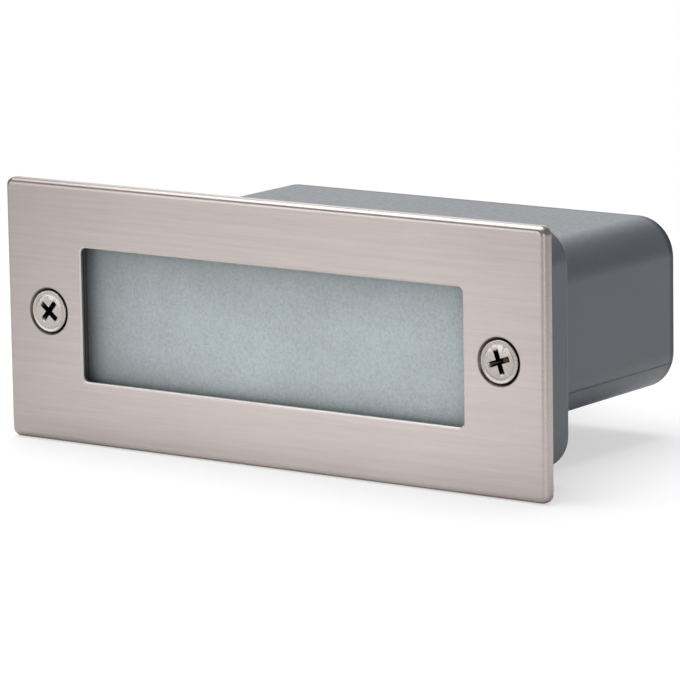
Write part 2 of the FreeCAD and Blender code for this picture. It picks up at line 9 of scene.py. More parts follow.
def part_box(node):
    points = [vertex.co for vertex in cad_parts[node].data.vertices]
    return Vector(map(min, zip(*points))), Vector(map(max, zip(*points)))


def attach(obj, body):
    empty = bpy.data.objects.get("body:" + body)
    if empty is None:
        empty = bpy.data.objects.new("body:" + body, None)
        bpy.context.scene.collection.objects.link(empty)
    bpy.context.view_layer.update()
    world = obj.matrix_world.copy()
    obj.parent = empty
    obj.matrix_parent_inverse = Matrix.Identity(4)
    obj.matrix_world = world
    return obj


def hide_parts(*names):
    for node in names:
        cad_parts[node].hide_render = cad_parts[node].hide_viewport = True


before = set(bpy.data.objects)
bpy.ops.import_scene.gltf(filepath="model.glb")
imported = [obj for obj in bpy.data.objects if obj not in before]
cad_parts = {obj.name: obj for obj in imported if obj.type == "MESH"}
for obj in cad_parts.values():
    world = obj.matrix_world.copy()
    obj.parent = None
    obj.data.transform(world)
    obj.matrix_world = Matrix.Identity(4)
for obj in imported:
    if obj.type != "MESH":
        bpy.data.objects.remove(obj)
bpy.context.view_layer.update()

mm = 0.001
fullTurn = 2 * math.pi
scene = bpy.context.scene
meshCare = {
    "mergeDistance": 1e-7, "flatAngle": 0.6, "smoothAngle": 32, "roundedAngle": 40, "flatWeight": 90,
    "poleRadius": 1e-4, "weldGap": 0.003, "slimEdge": 0.001,
}
threadForm = {"rowsPerTurn": 8, "flankSlope": 2.6, "crestFlat": 0.2, "smoothAngle": 50}


# Opens a mesh for editing and writes it back.
@contextmanager
def editing(mesh):
    build = bmesh.new()
    build.from_mesh(mesh)
    yield build
    build.to_mesh(mesh)
    build.free()


def linkMesh(name, mesh, material):
    obj = bpy.data.objects.new(name, mesh)
    scene.collection.objects.link(obj)
    mesh.materials.clear()
    mesh.materials.append(material)
    return obj


def smoothByAngle(mesh, degrees=meshCare["smoothAngle"]):
    mesh.polygons.foreach_set("use_smooth", [True] * len(mesh.polygons))
    mesh.set_sharp_from_angle(angle=math.radians(degrees))
    mesh.update()


# Freezes an object's modifiers into a plain mesh.
def bake(obj):
    graph = bpy.context.evaluated_depsgraph_get()
    graph.update()
    mesh = bpy.data.meshes.new_from_object(obj.evaluated_get(graph))
    obj.modifiers.clear()
    old = obj.data
    obj.data = mesh
    bpy.data.meshes.remove(old)


# Large faces keep one flat normal, and the rounding beside them takes all the turn.
def flatFaces(obj):
    shade = obj.modifiers.new("flatFaces", "WEIGHTED_NORMAL")
    shade.keep_sharp = True
    shade.weight = meshCare["flatWeight"]
    bake(obj)


# The piece rides on a body, and may stand for CAD nodes.
def place(obj, slot, *nodes, body="housing_body"):
    flatFaces(obj)
    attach(obj, body)
    if nodes:
        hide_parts(*nodes)


# A merged copy of a CAD node with its flat faces joined up again.
def mergedCopy(node, name, material):
    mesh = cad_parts[node].data.copy()
    with editing(mesh) as build:
        bmesh.ops.remove_doubles(build, verts=build.verts, dist=meshCare["mergeDistance"])
        bmesh.ops.dissolve_limit(build, angle_limit=math.radians(meshCare["flatAngle"]), verts=build.verts,
                                 edges=build.edges)
    return linkMesh(name, mesh, material)


# A CAD node's own form with its edges rounded, on its body.
def dressed(node, name, slot, material, look, body="housing_body"):
    obj = mergedCopy(node, name, material)
    bevel = obj.modifiers.new("rounding", "BEVEL")
    bevel.width = look["edge"] * mm
    bevel.segments = look.get("segments", 3)
    bevel.limit_method = "ANGLE"
    bevel.angle_limit = math.radians(look.get("edgeAngle", 30))
    bake(obj)
    smoothByAngle(obj.data, meshCare["roundedAngle"])
    place(obj, slot, node, body=body)


# Rings of points joined by quads, each ring to its neighbour.
def ringMesh(name, rings, closeEnds=True):
    mesh = bpy.data.meshes.new(name)
    count = len(rings[0])
    points = [point for ring in rings for point in ring]
    faces = []
    for row in range(len(rings) - 1):
        for step in range(count):
            a = row * count + step
            b = row * count + (step + 1) % count
            faces.append((a, b, b + count, a + count))
    if closeEnds:
        faces.append(tuple(reversed(range(count))))
        faces.append(tuple((len(rings) - 1) * count + step for step in range(count)))
    mesh.from_pydata(points, [], faces)
    with editing(mesh) as build:
        bmesh.ops.remove_doubles(build, verts=build.verts, dist=meshCare["mergeDistance"] / 10)
        bmesh.ops.recalc_face_normals(build, faces=build.faces)
    mesh.validate()
    return mesh


# A ring of points round an axis along Y, from the radius at each angle.
def turnedRing(radiusAt, y, steps, x=0.0):
    ring = []
    for step in range(steps):
        turn = fullTurn * step / steps
        radius = radiusAt(turn)
        ring.append(Vector((x + radius * math.cos(turn), y, radius * math.sin(turn))) * mm)
    return ring


# A piece turned round an axis along Y or Z through a point, from (radius, along) pairs in mm.
def lathe(name, profile, material, at=(0, 0, 0), axis="Y", steps=64, closed=False):
    x, y, z = at
    rings = []
    for radius, along in (profile + profile[:1] if closed else profile):
        radius = max(radius, meshCare["poleRadius"])
        ring = []
        for step in range(steps):
            turn = fullTurn * step / steps
            across, up = radius * math.cos(turn), radius * math.sin(turn)
            spot = (x + across, y + along, z + up) if axis == "Y" else (x + across, y + up, z + along)
            ring.append(Vector(spot) * mm)
        rings.append(ring)
    mesh = ringMesh(name, rings, closeEnds=not closed)
    smoothByAngle(mesh)
    return linkMesh(name, mesh, material)


# Corner points for a lathe profile, each corner rounded by a short arc.
def roundedProfile(corners, radius, closed=False, arcSteps=4):
    result = []
    count = len(corners)
    for index, corner in enumerate(corners):
        if not closed and index in (0, count - 1):
            result.append(tuple(corner))
            continue
        here = Vector(corner)
        before = Vector(corners[index - 1]) - here
        after = Vector(corners[(index + 1) % count]) - here
        cut = min(radius, before.length * 0.45, after.length * 0.45)
        start, end = here + before.normalized() * cut, here + after.normalized() * cut
        for step in range(arcSteps + 1):
            t = step / arcSteps
            result.append(tuple((1 - t) ** 2 * start + 2 * t * (1 - t) * here + t ** 2 * end))
    return result


# Profile points from (radius, edge, distance), with the distance along Y from the piece's front or back.
def profileBetween(box, points):
    edges = {"front": box[0].y / mm, "back": box[1].y / mm}
    return [(radius, edges[edge] + distance) for radius, edge, distance in points]


# An outside screw thread along +Y as one surface. It fades out at both ends, which are closed.
def threadMesh(name, crest, depth, pitch, start, end, x=0.0, steps=40):
    rows = int((end - start) / pitch * threadForm["rowsPerTurn"])
    rings = []
    for row in range(rows + 1):
        y = start + (end - start) * row / rows
        fade = max(0.0, min(1.0, (y - start) / pitch, (end - y) / pitch))

        def threadRadius(turn):
            phase = (y / pitch - turn / fullTurn) % 1.0
            flank = abs(phase - 0.5) * threadForm["flankSlope"] - threadForm["crestFlat"]
            return crest - depth * (1 - (1 - min(1.0, max(0.0, flank))) * fade)

        rings.append(turnedRing(threadRadius, y, steps, x))
    mesh = ringMesh(name, rings)
    smoothByAngle(mesh, threadForm["smoothAngle"])
    return mesh


# Puts other objects' meshes into the first one.
def joined(obj, *others):
    with editing(obj.data) as build:
        for other in others:
            build.from_mesh(other.data)
            bpy.data.objects.remove(other)
    return obj


# Cuts the cutters' shapes out of an object, or keeps only what lies inside them.
def cutAway(obj, *cutters, operation="DIFFERENCE"):
    for cutter in cutters:
        boolean = obj.modifiers.new("cut", "BOOLEAN")
        boolean.operation = operation
        boolean.object = cutter
        boolean.solver = "EXACT"
    bake(obj)
    for cutter in cutters:
        bpy.data.objects.remove(cutter)
    smoothByAngle(obj.data)
    return obj


# An input given as another node's socket is linked, and any other is set.
def setInputs(tree, node, inputs):
    for key, value in inputs.items():
        if isinstance(value, bpy.types.NodeSocket):
            tree.links.new(value, node.inputs[key])
        else:
            node.inputs[key].default_value = value


def addNode(tree, kind, inputs=None, **settings):
    node = tree.nodes.new(kind)
    for key, value in settings.items():
        setattr(node, key, value)
    setInputs(tree, node, inputs or {})
    return node


def emptyMaterial(name):
    material = bpy.data.materials.new(name)
    material.use_nodes = True
    material.node_tree.nodes.clear()
    return material, material.node_tree


def solidMaterial(name):
    material, tree = emptyMaterial(name)
    shader = addNode(tree, "ShaderNodeBsdfPrincipled")
    addNode(tree, "ShaderNodeOutputMaterial", {"Surface": shader.outputs["BSDF"]})
    return material, tree, shader


def objectSpace(tree, scale=(1, 1, 1), turn=(0, 0, 0)):
    coords = addNode(tree, "ShaderNodeTexCoord").outputs["Object"]
    inputs = {"Vector": coords, "Scale": scale, "Rotation": turn}
    return addNode(tree, "ShaderNodeMapping", inputs).outputs["Vector"]


def axisValues(tree, vector):
    split = addNode(tree, "ShaderNodeSeparateXYZ", {0: vector})
    return {axis: split.outputs[axis] for axis in "XYZ"}


# The scale is in patterns per mm.
def noise(tree, vector, scale, detail=4.0, roughness=0.55):
    inputs = {"Vector": vector, "Scale": scale / mm, "Detail": detail, "Roughness": roughness}
    return addNode(tree, "ShaderNodeTexNoise", inputs).outputs["Fac"]


def ramp(tree, value, stops):
    node = addNode(tree, "ShaderNodeValToRGB", {"Fac": value})
    band = node.color_ramp
    while len(band.elements) < len(stops):
        band.elements.new(0.5)
    for element, (position, colour) in zip(list(band.elements), stops):
        element.position = position
        element.color = (*colour, 1.0)
    return node.outputs["Color"]


def greyRamp(tree, value, stops):
    return ramp(tree, value, [(position, (grey,) * 3) for position, grey in stops])


def remap(tree, value, low, high, fromLow=0.3, fromHigh=0.7):
    inputs = {"Value": value, "From Min": fromLow, "From Max": fromHigh, "To Min": low, "To Max": high}
    return addNode(tree, "ShaderNodeMapRange", inputs).outputs["Result"]


def calculate(tree, operation, *values):
    return addNode(tree, "ShaderNodeMath", dict(enumerate(values)), operation=operation).outputs["Value"]


# Inputs 0, 6 and 7 of the Mix node are its factor and its two colours.
def blendColour(tree, factor, a, b, mode="MIX"):
    a, b = ((*value, 1.0) if isinstance(value, tuple) else value for value in (a, b))
    return addNode(tree, "ShaderNodeMix", {0: factor, 6: a, 7: b}, data_type="RGBA", blend_type=mode).outputs[2]


def multiplied(tree, colour, shade, amount=1.0):
    return blendColour(tree, amount, colour, shade, "MULTIPLY")


def bump(tree, shader, height, distance, strength=1.0, below=None):
    inputs = {"Strength": strength, "Distance": distance * mm, "Height": height}
    if below:
        inputs["Normal"] = below
    normal = addNode(tree, "ShaderNodeBump", inputs).outputs["Normal"]
    setInputs(tree, shader, {"Normal": normal})
    return normal


# What a finish has unless its own dictionary says otherwise.
plainFinish = {
    "vary": 0.08, "detail": 5.0, "cloud": 0.09, "wear": 0.25, "wearEdge": (0.52, 0.60), "metal": 0.0,
    "specular": 0.5, "coat": 0.0, "coatRough": 0.1, "sheen": 0.0, "relief": 0.01, "stretch": (1, 1, 1),
    "recessShade": 0.12, "speck": 0.6, "wornGain": 1.5, "wornLift": 0.06,
}


# A finish from one dictionary: a colour with slow clouds and fine specks, roughness and relief from the same
# grain, and lighter worn edges. A recess, as (front, deep, end, clear) along Y, gets painted shade.
def finish(name, own):
    look = {**plainFinish, **own}
    material, tree, shader = solidMaterial(name)
    grain = noise(tree, objectSpace(tree, look["stretch"]), look["grain"], look["detail"])
    plain = objectSpace(tree)
    slow = noise(tree, plain, look["cloud"], 3.0)
    base, vary = Vector(look["colour"]), look["vary"]
    colour = ramp(tree, slow, [(0.3, tuple(base * (1 - vary))), (0.7, tuple(base * (1 + vary)))])
    colour = multiplied(tree, colour, greyRamp(tree, grain, [(0.35, 1 - vary), (0.65, 1.0)]), look["speck"])
    edge = addNode(tree, "ShaderNodeNewGeometry").outputs["Pointiness"]
    worn = remap(tree, edge, 0.0, look["wear"], *look["wearEdge"])
    bare = tuple(min(1.0, value * look["wornGain"] + look["wornLift"]) for value in base)
    colour = blendColour(tree, worn, colour, bare)
    # Painted shade: the colour darkens inside the recess, where light barely reaches.
    if "recess" in look:
        y = axisValues(tree, plain)["Y"]
        front, deep, end, clear = (value * mm for value in look["recess"])
        shade = calculate(tree, "MULTIPLY", remap(tree, y, 0.0, 1.0, front, deep),
                          remap(tree, y, 1.0, 0.0, end, clear))
        colour = blendColour(tree, shade, colour, tuple(base * look["recessShade"]))
    setInputs(tree, shader, {"Base Color": colour, "Roughness": remap(tree, grain, *look["rough"]),
                             "Metallic": look["metal"], "Specular IOR Level": look["specular"],
                             "Coat Weight": look["coat"], "Coat Roughness": look["coatRough"],
                             "Sheen Weight": look["sheen"]})
    bump(tree, shader, grain, look["relief"])
    return material


# One Geometry Nodes tree sets copies of a piece on a grid.
def repeatTree():
    tree = bpy.data.node_groups.new("gridRepeat", "GeometryNodeTree")
    sockets = (("Source", "NodeSocketObject"), ("Columns", "NodeSocketInt"), ("Rows", "NodeSocketInt"),
               ("Column Pitch", "NodeSocketFloat"), ("Row Pitch", "NodeSocketFloat"),
               ("Tilt", "NodeSocketVector"), ("Centre", "NodeSocketVector"), ("Material", "NodeSocketMaterial"))
    for name, kind in sockets:
        tree.interface.new_socket(name=name, in_out="INPUT", socket_type=kind)
    tree.interface.new_socket(name="Geometry", in_out="OUTPUT", socket_type="NodeSocketGeometry")
    given = addNode(tree, "NodeGroupInput").outputs
    sizes = {"Vertices X": given["Columns"], "Vertices Y": given["Rows"]}
    for size, count, pitch in (("Size X", "Columns", "Column Pitch"), ("Size Y", "Rows", "Row Pitch")):
        gaps = calculate(tree, "SUBTRACT", given[count], 1.0)
        sizes[size] = calculate(tree, "MULTIPLY", gaps, given[pitch])
    grid = addNode(tree, "GeometryNodeMeshGrid", sizes)
    move = addNode(tree, "GeometryNodeTransform", {"Geometry": grid.outputs["Mesh"], "Rotation": given["Tilt"],
                                                   "Translation": given["Centre"]})
    source = addNode(tree, "GeometryNodeObjectInfo", {"Object": given["Source"]})
    spread = addNode(tree, "GeometryNodeInstanceOnPoints", {"Points": move.outputs["Geometry"],
                                                            "Instance": source.outputs["Geometry"]})
    solid = addNode(tree, "GeometryNodeRealizeInstances", {"Geometry": spread.outputs["Instances"]})
    paint = addNode(tree, "GeometryNodeSetMaterial", {"Geometry": solid.outputs["Geometry"],
                                                      "Material": given["Material"]})
    addNode(tree, "NodeGroupOutput", {"Geometry": paint.outputs["Geometry"]})
    return tree


gridRepeat = repeatTree()
gridTilt = {"upright": (math.pi / 2, 0, 0), "flat": (0, 0, 0)}  # columns along X, rows along Z or along Y


# The source is made round the origin, and goes once its copies are made.
def repeated(name, source, material, columns, rows, pitch, centre=(0, 0, 0), tilt="upright"):
    holder = bpy.data.objects.new(name, bpy.data.meshes.new(name))
    scene.collection.objects.link(holder)
    modifier = holder.modifiers.new("repeat", "NODES")
    modifier.node_group = gridRepeat
    values = {"Source": source, "Columns": columns, "Rows": rows, "Column Pitch": pitch[0] * mm,
              "Row Pitch": pitch[1] * mm, "Tilt": gridTilt[tilt], "Centre": Vector(centre) * mm,
              "Material": material}
    for item in gridRepeat.interface.items_tree:
        if item.in_out == "INPUT":
            modifier[item.identifier] = values[item.name]
    bake(holder)
    bpy.data.objects.remove(source)
    smoothByAngle(holder.data)
    return holder


# A hexagonal piece along Y from (largest radius, y) pairs, and a round bore from (radius, y) pairs.
def hexPiece(name, acrossFlats, outside, material, bore=(), steps=96):
    def flatRadius(turn):
        return acrossFlats / 2 / math.cos((turn % (math.pi / 3)) - math.pi / 6)

    rings = [turnedRing(lambda turn: min(limit, flatRadius(turn)), y, steps) for limit, y in outside]
    rings += [turnedRing(lambda turn: radius, y, steps) for radius, y in bore]
    if bore:
        rings.append(rings[0])
    mesh = ringMesh(name, rings, closeEnds=not bore)
    smoothByAngle(mesh)
    return linkMesh(name, mesh, material)


hexHead = {
    "dish": 0.3, "dishDepth": 0.25, "dishSlope": 0.3, "crown": 0.1, "chamfer": 0.45, "foot": 0.2,
    "footInset": 0.15,
}


# A hexagon-head screw with its seat at y = 0, its head in front and its thread behind.
def hexScrew(name, look, material):
    flats, front = look["acrossFlats"], -look["headHeight"]
    corner, dish = flats / math.sqrt(3), flats * hexHead["dish"]
    outside = [(dish, front + hexHead["dishDepth"]), (dish + hexHead["dishSlope"], front),
               (flats / 2 - hexHead["crown"], front), (corner, front + hexHead["chamfer"]),
               (corner, -hexHead["foot"]), (corner - hexHead["footInset"], 0)]
    head = hexPiece(name, flats, outside, material)
    thread = threadMesh("shank", look["radius"], look["depth"], look["pitch"], -hexHead["foot"], look["length"])
    return joined(head, linkMesh("shank", thread, material))


print("helpers ready")


# alongX, top and topFade paint reflection shade on the plate: darker at both ends and towards the top.
facePlateLook = {
    "edge": 0.14, "colour": (0.52, 0.462, 0.44), "streak": 0.11, "rough": (0.26, 0.38),
    "relief": 0.004, "brushing": 0.35, "fineScale": 5.0, "broadScale": 1.7, "cloud": 0.03,
    "halfLength": 55, "alongX": ((0.0, 0.70), (0.25, 0.9), (0.5, 1.0), (0.78, 1.0), (1.0, 0.88)),
    # sinkRadius, sinkEdge and sinkShade paint shade rings round the countersinks.
    "top": 0.84, "topFade": (-10, 20), "screwSpacing": 92.0, "sinkRadius": 4.14, "sinkEdge": (0.15, 0.1),
    "sinkShade": 0.2, "windowCorner": 1.0, "windowHalf": {"X": 39.0, "Z": 11.5},
    # The rim entries paint a highlight on the edge round the window.
    "rimWidth": 0.24, "rimHighlightColour": (0.60, 0.57, 0.55), "rimMetal": 0.25, "rimBehind": (-1.72, -1.6),
}


# How far a point is outside the window with its rounded corners, measured from the corners' centres.
def windowDistance(tree, at, look):
    squares = []
    for axis, half in look["windowHalf"].items():
        past = calculate(tree, "SUBTRACT", calculate(tree, "ABSOLUTE", at[axis]),
                         (half - look["windowCorner"]) * mm)
        squares.append(calculate(tree, "POWER", calculate(tree, "MAXIMUM", past, 0.0), 2.0))
    return calculate(tree, "SQRT", calculate(tree, "ADD", *squares))


# Sheet steel brushed along X: long fine streaks over broader, fainter ones, painted reflection shade that
# darkens the left end, the right end and the top, painted shade rings in the countersinks and a painted
# highlight on the edge round the window.
def brushedSteel(name, look):
    material, tree, shader = solidMaterial(name)
    drawnOut = objectSpace(tree, (0.02, 1, 1))
    fine = noise(tree, drawnOut, look["fineScale"], 6.0, 0.7)
    broad = noise(tree, drawnOut, look["broadScale"])
    plain = objectSpace(tree)
    at = axisValues(tree, plain)
    base = Vector(look["colour"])
    low, high = tuple(base * (1 - look["streak"])), tuple(base * (1 + look["streak"]))
    colour = ramp(tree, fine, [(0.25, low), (0.75, high)])
    colour = blendColour(tree, 0.4, colour, ramp(tree, broad, [(0.3, low), (0.7, high)]))
    cloud = ramp(tree, noise(tree, plain, look["cloud"], 2.0), [(0.35, (0.93, 0.93, 0.95)), (0.65, (1, 1, 1))])
    colour = multiplied(tree, colour, cloud, 0.35)
    # Painted reflection shade: darker towards both ends and towards the top.
    half = look["halfLength"] * mm
    along = remap(tree, at["X"], 0.0, 1.0, -half, half)
    colour = multiplied(tree, colour, greyRamp(tree, along, look["alongX"]))
    fadeFrom, fadeTo = (value * mm for value in look["topFade"])
    colour = multiplied(tree, colour, remap(tree, at["Z"], 1.0, look["top"], fadeFrom, fadeTo))
    # Painted shade rings round the countersinks, where the gap by the screw heads lies in shade.
    across = calculate(tree, "SUBTRACT", calculate(tree, "ABSOLUTE", at["X"]), look["screwSpacing"] / 2 * mm)
    radius = calculate(tree, "SQRT", calculate(tree, "ADD", calculate(tree, "MULTIPLY", across, across),
                                               calculate(tree, "MULTIPLY", at["Z"], at["Z"])))
    inner, outer = look["sinkEdge"]
    sunk = remap(tree, radius, 1.0, 0.0, (look["sinkRadius"] - inner) * mm, (look["sinkRadius"] + outer) * mm)
    colour = blendColour(tree, sunk, colour, tuple(base * look["sinkShade"]))
    # Painted highlight: a lighter, less metallic band on the edge round the window.
    reach = (look["windowCorner"] + look["rimWidth"]) * mm
    start, end = look["rimBehind"]
    nearWindow = remap(tree, windowDistance(tree, at, look), 1.0, 0.0, reach, reach + 0.1 * mm)
    rim = calculate(tree, "MULTIPLY", nearWindow, remap(tree, at["Y"], 1.0, 0.0, start * mm, end * mm))
    colour = blendColour(tree, rim, colour, look["rimHighlightColour"])
    tangent = addNode(tree, "ShaderNodeTangent", direction_type="RADIAL", axis="Y").outputs["Tangent"]
    setInputs(tree, shader, {"Base Color": colour, "Roughness": remap(tree, fine, *look["rough"]),
                             "Metallic": remap(tree, rim, 1.0, look["rimMetal"], 0.0, 1.0),
                             "Anisotropic": look["brushing"], "Tangent": tangent})
    bump(tree, shader, fine, look["relief"])
    return material


dressed("face_plate", "facePlate", "stainless_plate", brushedSteel("plateSteel", facePlateLook), facePlateLook,
        "face_body")

faceGasketLook = {
    "edge": 0.15, "segments": 2, "colour": (0.03, 0.03, 0.033), "rough": (0.75, 0.95), "grain": 3.5,
    "relief": 0.08, "vary": 0.3, "sheen": 0.1,
}
dressed("face_gasket", "faceGasket", "foam_rubber", finish("foam", faceGasketLook), faceGasketLook, "face_body")

faceScrewLook = {
    "pitch": 0.7, "threadDepth": 0.38, "threadStart": 0.5, "crest": 2.0, "tip": 10.0, "face": 2.75,
    "ring": ((0.1, 0.07), (0.22, 0.09)), "rim": 3.42, "roll": (0.2, 0.24), "rollSteps": 6,
    "rollBack": 0.35, "skirt": (0.25, 1.0), "threadLap": 0.2, "smoothAngle": 25,
    "colour": (0.42, 0.385, 0.36), "metal": 1.0, "rough": (0.22, 0.32), "grain": 3.0, "relief": 0.0012,
    # The recess entry paints shade into the cross recess.
    "recess": (-1.97, -1.6, 0.3, 0.4),
}
screwSteel = finish("screwSteel", faceScrewLook)


# The CAD head keeps its cross recess. It gets a shallow ring round its face and a rolled rim, and a real thread
# takes over behind it.
def faceScrew(node, name, look):
    obj = mergedCopy(node, name, screwSteel)
    low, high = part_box(node)
    centre, front = (low.x + high.x) / 2 / mm, low.y / mm
    with editing(obj.data) as build:
        everything = build.verts[:] + build.edges[:] + build.faces[:]
        bmesh.ops.bisect_plane(build, geom=everything, plane_co=(0, look["threadStart"] * mm, 0),
                               plane_no=(0, 1, 0), clear_outer=True)
        bmesh.ops.holes_fill(build, edges=[edge for edge in build.edges if edge.is_boundary])
    outline = [(0, front), (look["face"], front)]
    outline += [(look["face"] + out, front + deep) for out, deep in look["ring"]]
    out, deep = look["roll"]
    for step in range(look["rollSteps"] + 2):
        turn = math.pi / 2 * (step / look["rollSteps"] - look["rollBack"])
        outline.append((look["rim"] + out * math.sin(turn), front + deep * (1 - math.cos(turn))))
    out, deep = look["skirt"]
    outline.append((look["rim"] + out, deep))
    cutAway(obj, lathe("headShape", outline, screwSteel, (centre, 0, 0), steps=96), operation="INTERSECT")
    with editing(obj.data) as build:
        bmesh.ops.remove_doubles(build, verts=build.verts, dist=meshCare["weldGap"] * mm)
        bmesh.ops.dissolve_degenerate(build, edges=build.edges, dist=meshCare["slimEdge"] * mm)
    smoothByAngle(obj.data, look["smoothAngle"])
    start = look["threadStart"] - look["threadLap"]
    thread = threadMesh("thread", look["crest"], look["threadDepth"], look["pitch"], start, look["tip"], centre)
    return joined(obj, linkMesh("thread", thread, screwSteel))


for side in ("left", "right"):
    screw = faceScrew(f"face_screw_{side}", f"faceScrew.{side}", faceScrewLook)
    place(screw, "stainless_screw", f"face_screw_{side}", body=f"screw_{side}_body")

washerLook = {
    "corners": [(2.05, 0.1), (2.6, 0.1), (2.6, 1.1), (2.05, 1.1)], "rounding": 0.25, "spacing": 92,
    "colour": (0.022, 0.022, 0.023), "rough": (0.45, 0.65), "grain": 5.0, "relief": 0.02, "vary": 0.2,
}
nitrile = finish("nitrile", washerLook)
washerOutline = roundedProfile(washerLook["corners"], washerLook["rounding"], True)
washer = lathe("washer", washerOutline, nitrile, closed=True)
screwWashers = repeated("screwWashers", washer, nitrile, 2, 1, (washerLook["spacing"], 0))
place(screwWashers, "nitrile_rubber", "screw_washers", body="face_body")
print("face ready")


# The shades are (place in mm, brightness) of painted shade, darker towards the left end, the top and the
# channel.
glassLook = {
    "edge": 0.3, "colour": (0.535, 0.605, 0.625), "speck": 0.19, "transmission": 0.30,
    "roughness": 0.50, "relief": 0.03, "paintedSparkle": 1.12, "cells": 3.2, "grain": 2.3, "cloud": 0.07,
    "shadeX": ((-40.2, 0.40), (-38.8, 0.49), (-37.3, 0.57), (-35.7, 0.66), (-32.9, 0.72), (-30.9, 0.80),
               (-25.2, 0.90), (-21.0, 0.93), (-15.0, 0.97), (-8.0, 1.0), (36.0, 1.0), (39.5, 0.85)),
    "shadeZ": ((-12.5, 0.52), (-11.7, 0.70), (-11.0, 0.88), (-8.9, 0.95), (-6.5, 1.0), (1.7, 1.0), (5.2, 0.92),
               (7.0, 0.87), (8.7, 0.79), (9.6, 0.74), (12.0, 0.62)),
}


# Etched glass: milky, with a fine painted sparkle of glints on the etched grain and painted shade towards its
# edges.
def etchedGlass(name, look):
    material, tree, shader = solidMaterial(name)
    vector = objectSpace(tree)
    cells = addNode(tree, "ShaderNodeTexVoronoi", {"Vector": vector, "Scale": look["cells"] / mm})
    grain = noise(tree, vector, look["grain"], 6.0, 0.75)
    base = Vector(look["colour"])
    colour = ramp(tree, grain, [(0.32, tuple(base * (1 - look["speck"]))),
                                (0.68, tuple(base * (1 + look["speck"])))])
    cloud = noise(tree, vector, look["cloud"], 2.0)
    colour = multiplied(tree, colour, greyRamp(tree, cloud, [(0.35, 0.95), (0.65, 1.05)]))
    # Painted glints: the colour is brighter at the grain cells' centres.
    paintedSparkle = greyRamp(tree, cells.outputs["Distance"], [(0.0, look["paintedSparkle"]), (0.35, 1.0)])
    colour = multiplied(tree, colour, paintedSparkle, 0.5)
    at = axisValues(tree, vector)
    # Painted shade along X and Z, where the plate's edge and the channel shade the glass.
    for axis in "XZ":
        stops = look["shade" + axis]
        first, last = stops[0][0], stops[-1][0]
        along = remap(tree, at[axis], 0.0, 1.0, first * mm, last * mm)
        shade = greyRamp(tree, along, [((spot - first) / (last - first), grey) for spot, grey in stops])
        colour = multiplied(tree, colour, shade)
    setInputs(tree, shader, {"Base Color": colour, "Transmission Weight": look["transmission"],
                             "Roughness": look["roughness"], "IOR": 1.5})
    bump(tree, shader, grain, look["relief"])
    return material


dressed("glass_pane", "glassPane", "frosted_glass", etchedGlass("frostedGlass", glassLook), glassLook)

glassGasketLook = {
    "edge": 0.18, "colour": (0.045, 0.052, 0.05), "rough": (0.4, 0.6), "grain": 2.5,
    "relief": 0.015, "vary": 0.15,
}
dressed("glass_gasket", "glassGasket", "silicone_rubber", finish("silicone", glassGasketLook), glassGasketLook)
print("glass ready")


# lineShade paints shade along the parting line, and backEdge with edgeShade paints a shade line round the back
# edge.
castingLook = {
    "edge": 0.32, "colour": (0.089, 0.100, 0.116), "rough": (0.36, 0.46), "peel": 0.012,
    "peelScale": 1.3, "cloudScale": 0.05, "speckScale": 6.0, "speck": 0.5, "worn": (0.35, 1.6),
    "lineAmount": 0.6, "lineShade": 0.3,
    "partingHeight": -10.0, "partingWidth": 0.19, "partingDepth": 0.14, "partingStart": (13.0, 13.4),
    "backEdge": (55.7, 58.0), "edgeShade": 0.35,
}


# Satin powder coat with fine orange peel, the mould's parting line along the box with painted shade along it,
# and a painted shade line round its back edge.
def castingPaint(name, look):
    material, tree, shader = solidMaterial(name)
    vector = objectSpace(tree)
    peel, cloud = noise(tree, vector, look["peelScale"], 3.0), noise(tree, vector, look["cloudScale"], 3.0)
    speck = noise(tree, vector, look["speckScale"], 2.0)
    at = axisValues(tree, vector)
    offset = calculate(tree, "ABSOLUTE", calculate(tree, "SUBTRACT", at["Z"], look["partingHeight"] * mm))
    width = look["partingWidth"] * mm
    front, behind = look["partingStart"]
    line = calculate(tree, "MULTIPLY", remap(tree, offset, 1.0, 0.0, width * 0.4, width),
                     remap(tree, at["Y"], 0.0, 1.0, front * mm, behind * mm))
    base = Vector(look["colour"])
    colour = ramp(tree, cloud, [(0.3, tuple(base * 0.95)), (0.7, tuple(base * 1.05))])
    colour = multiplied(tree, colour, greyRamp(tree, speck, [(0.35, 0.9), (0.6, 1.0)]), look["speck"])
    edge = addNode(tree, "ShaderNodeNewGeometry").outputs["Pointiness"]
    most, gain = look["worn"]
    colour = blendColour(tree, remap(tree, edge, 0.0, most, 0.53, 0.62), colour, tuple(base * gain))
    # Painted shade along the parting line. Its ridge comes from the bump below.
    partingLineShade = calculate(tree, "MULTIPLY", line, look["lineAmount"])
    colour = blendColour(tree, partingLineShade, colour, tuple(base * look["lineShade"]))
    # Painted shade: a darker band round the back edge, which faces away from the light.
    start, end = look["backEdge"]
    backEdgeShade = greyRamp(tree, remap(tree, at["Y"], 0.0, 1.0, start * mm, end * mm),
                    [(0.0, 1.0), (0.3, look["edgeShade"]), (0.88, look["edgeShade"]), (0.99, 1.0)])
    setInputs(tree, shader, {"Base Color": multiplied(tree, colour, backEdgeShade),
                             "Roughness": remap(tree, peel, *look["rough"])})
    below = bump(tree, shader, peel, look["peel"])
    bump(tree, shader, calculate(tree, "SUBTRACT", 1.0, line), look["partingDepth"], 0.7, below)
    return material


dressed("housing", "castHousing", "painted_casting", castingPaint("castPaint", castingLook), castingLook)

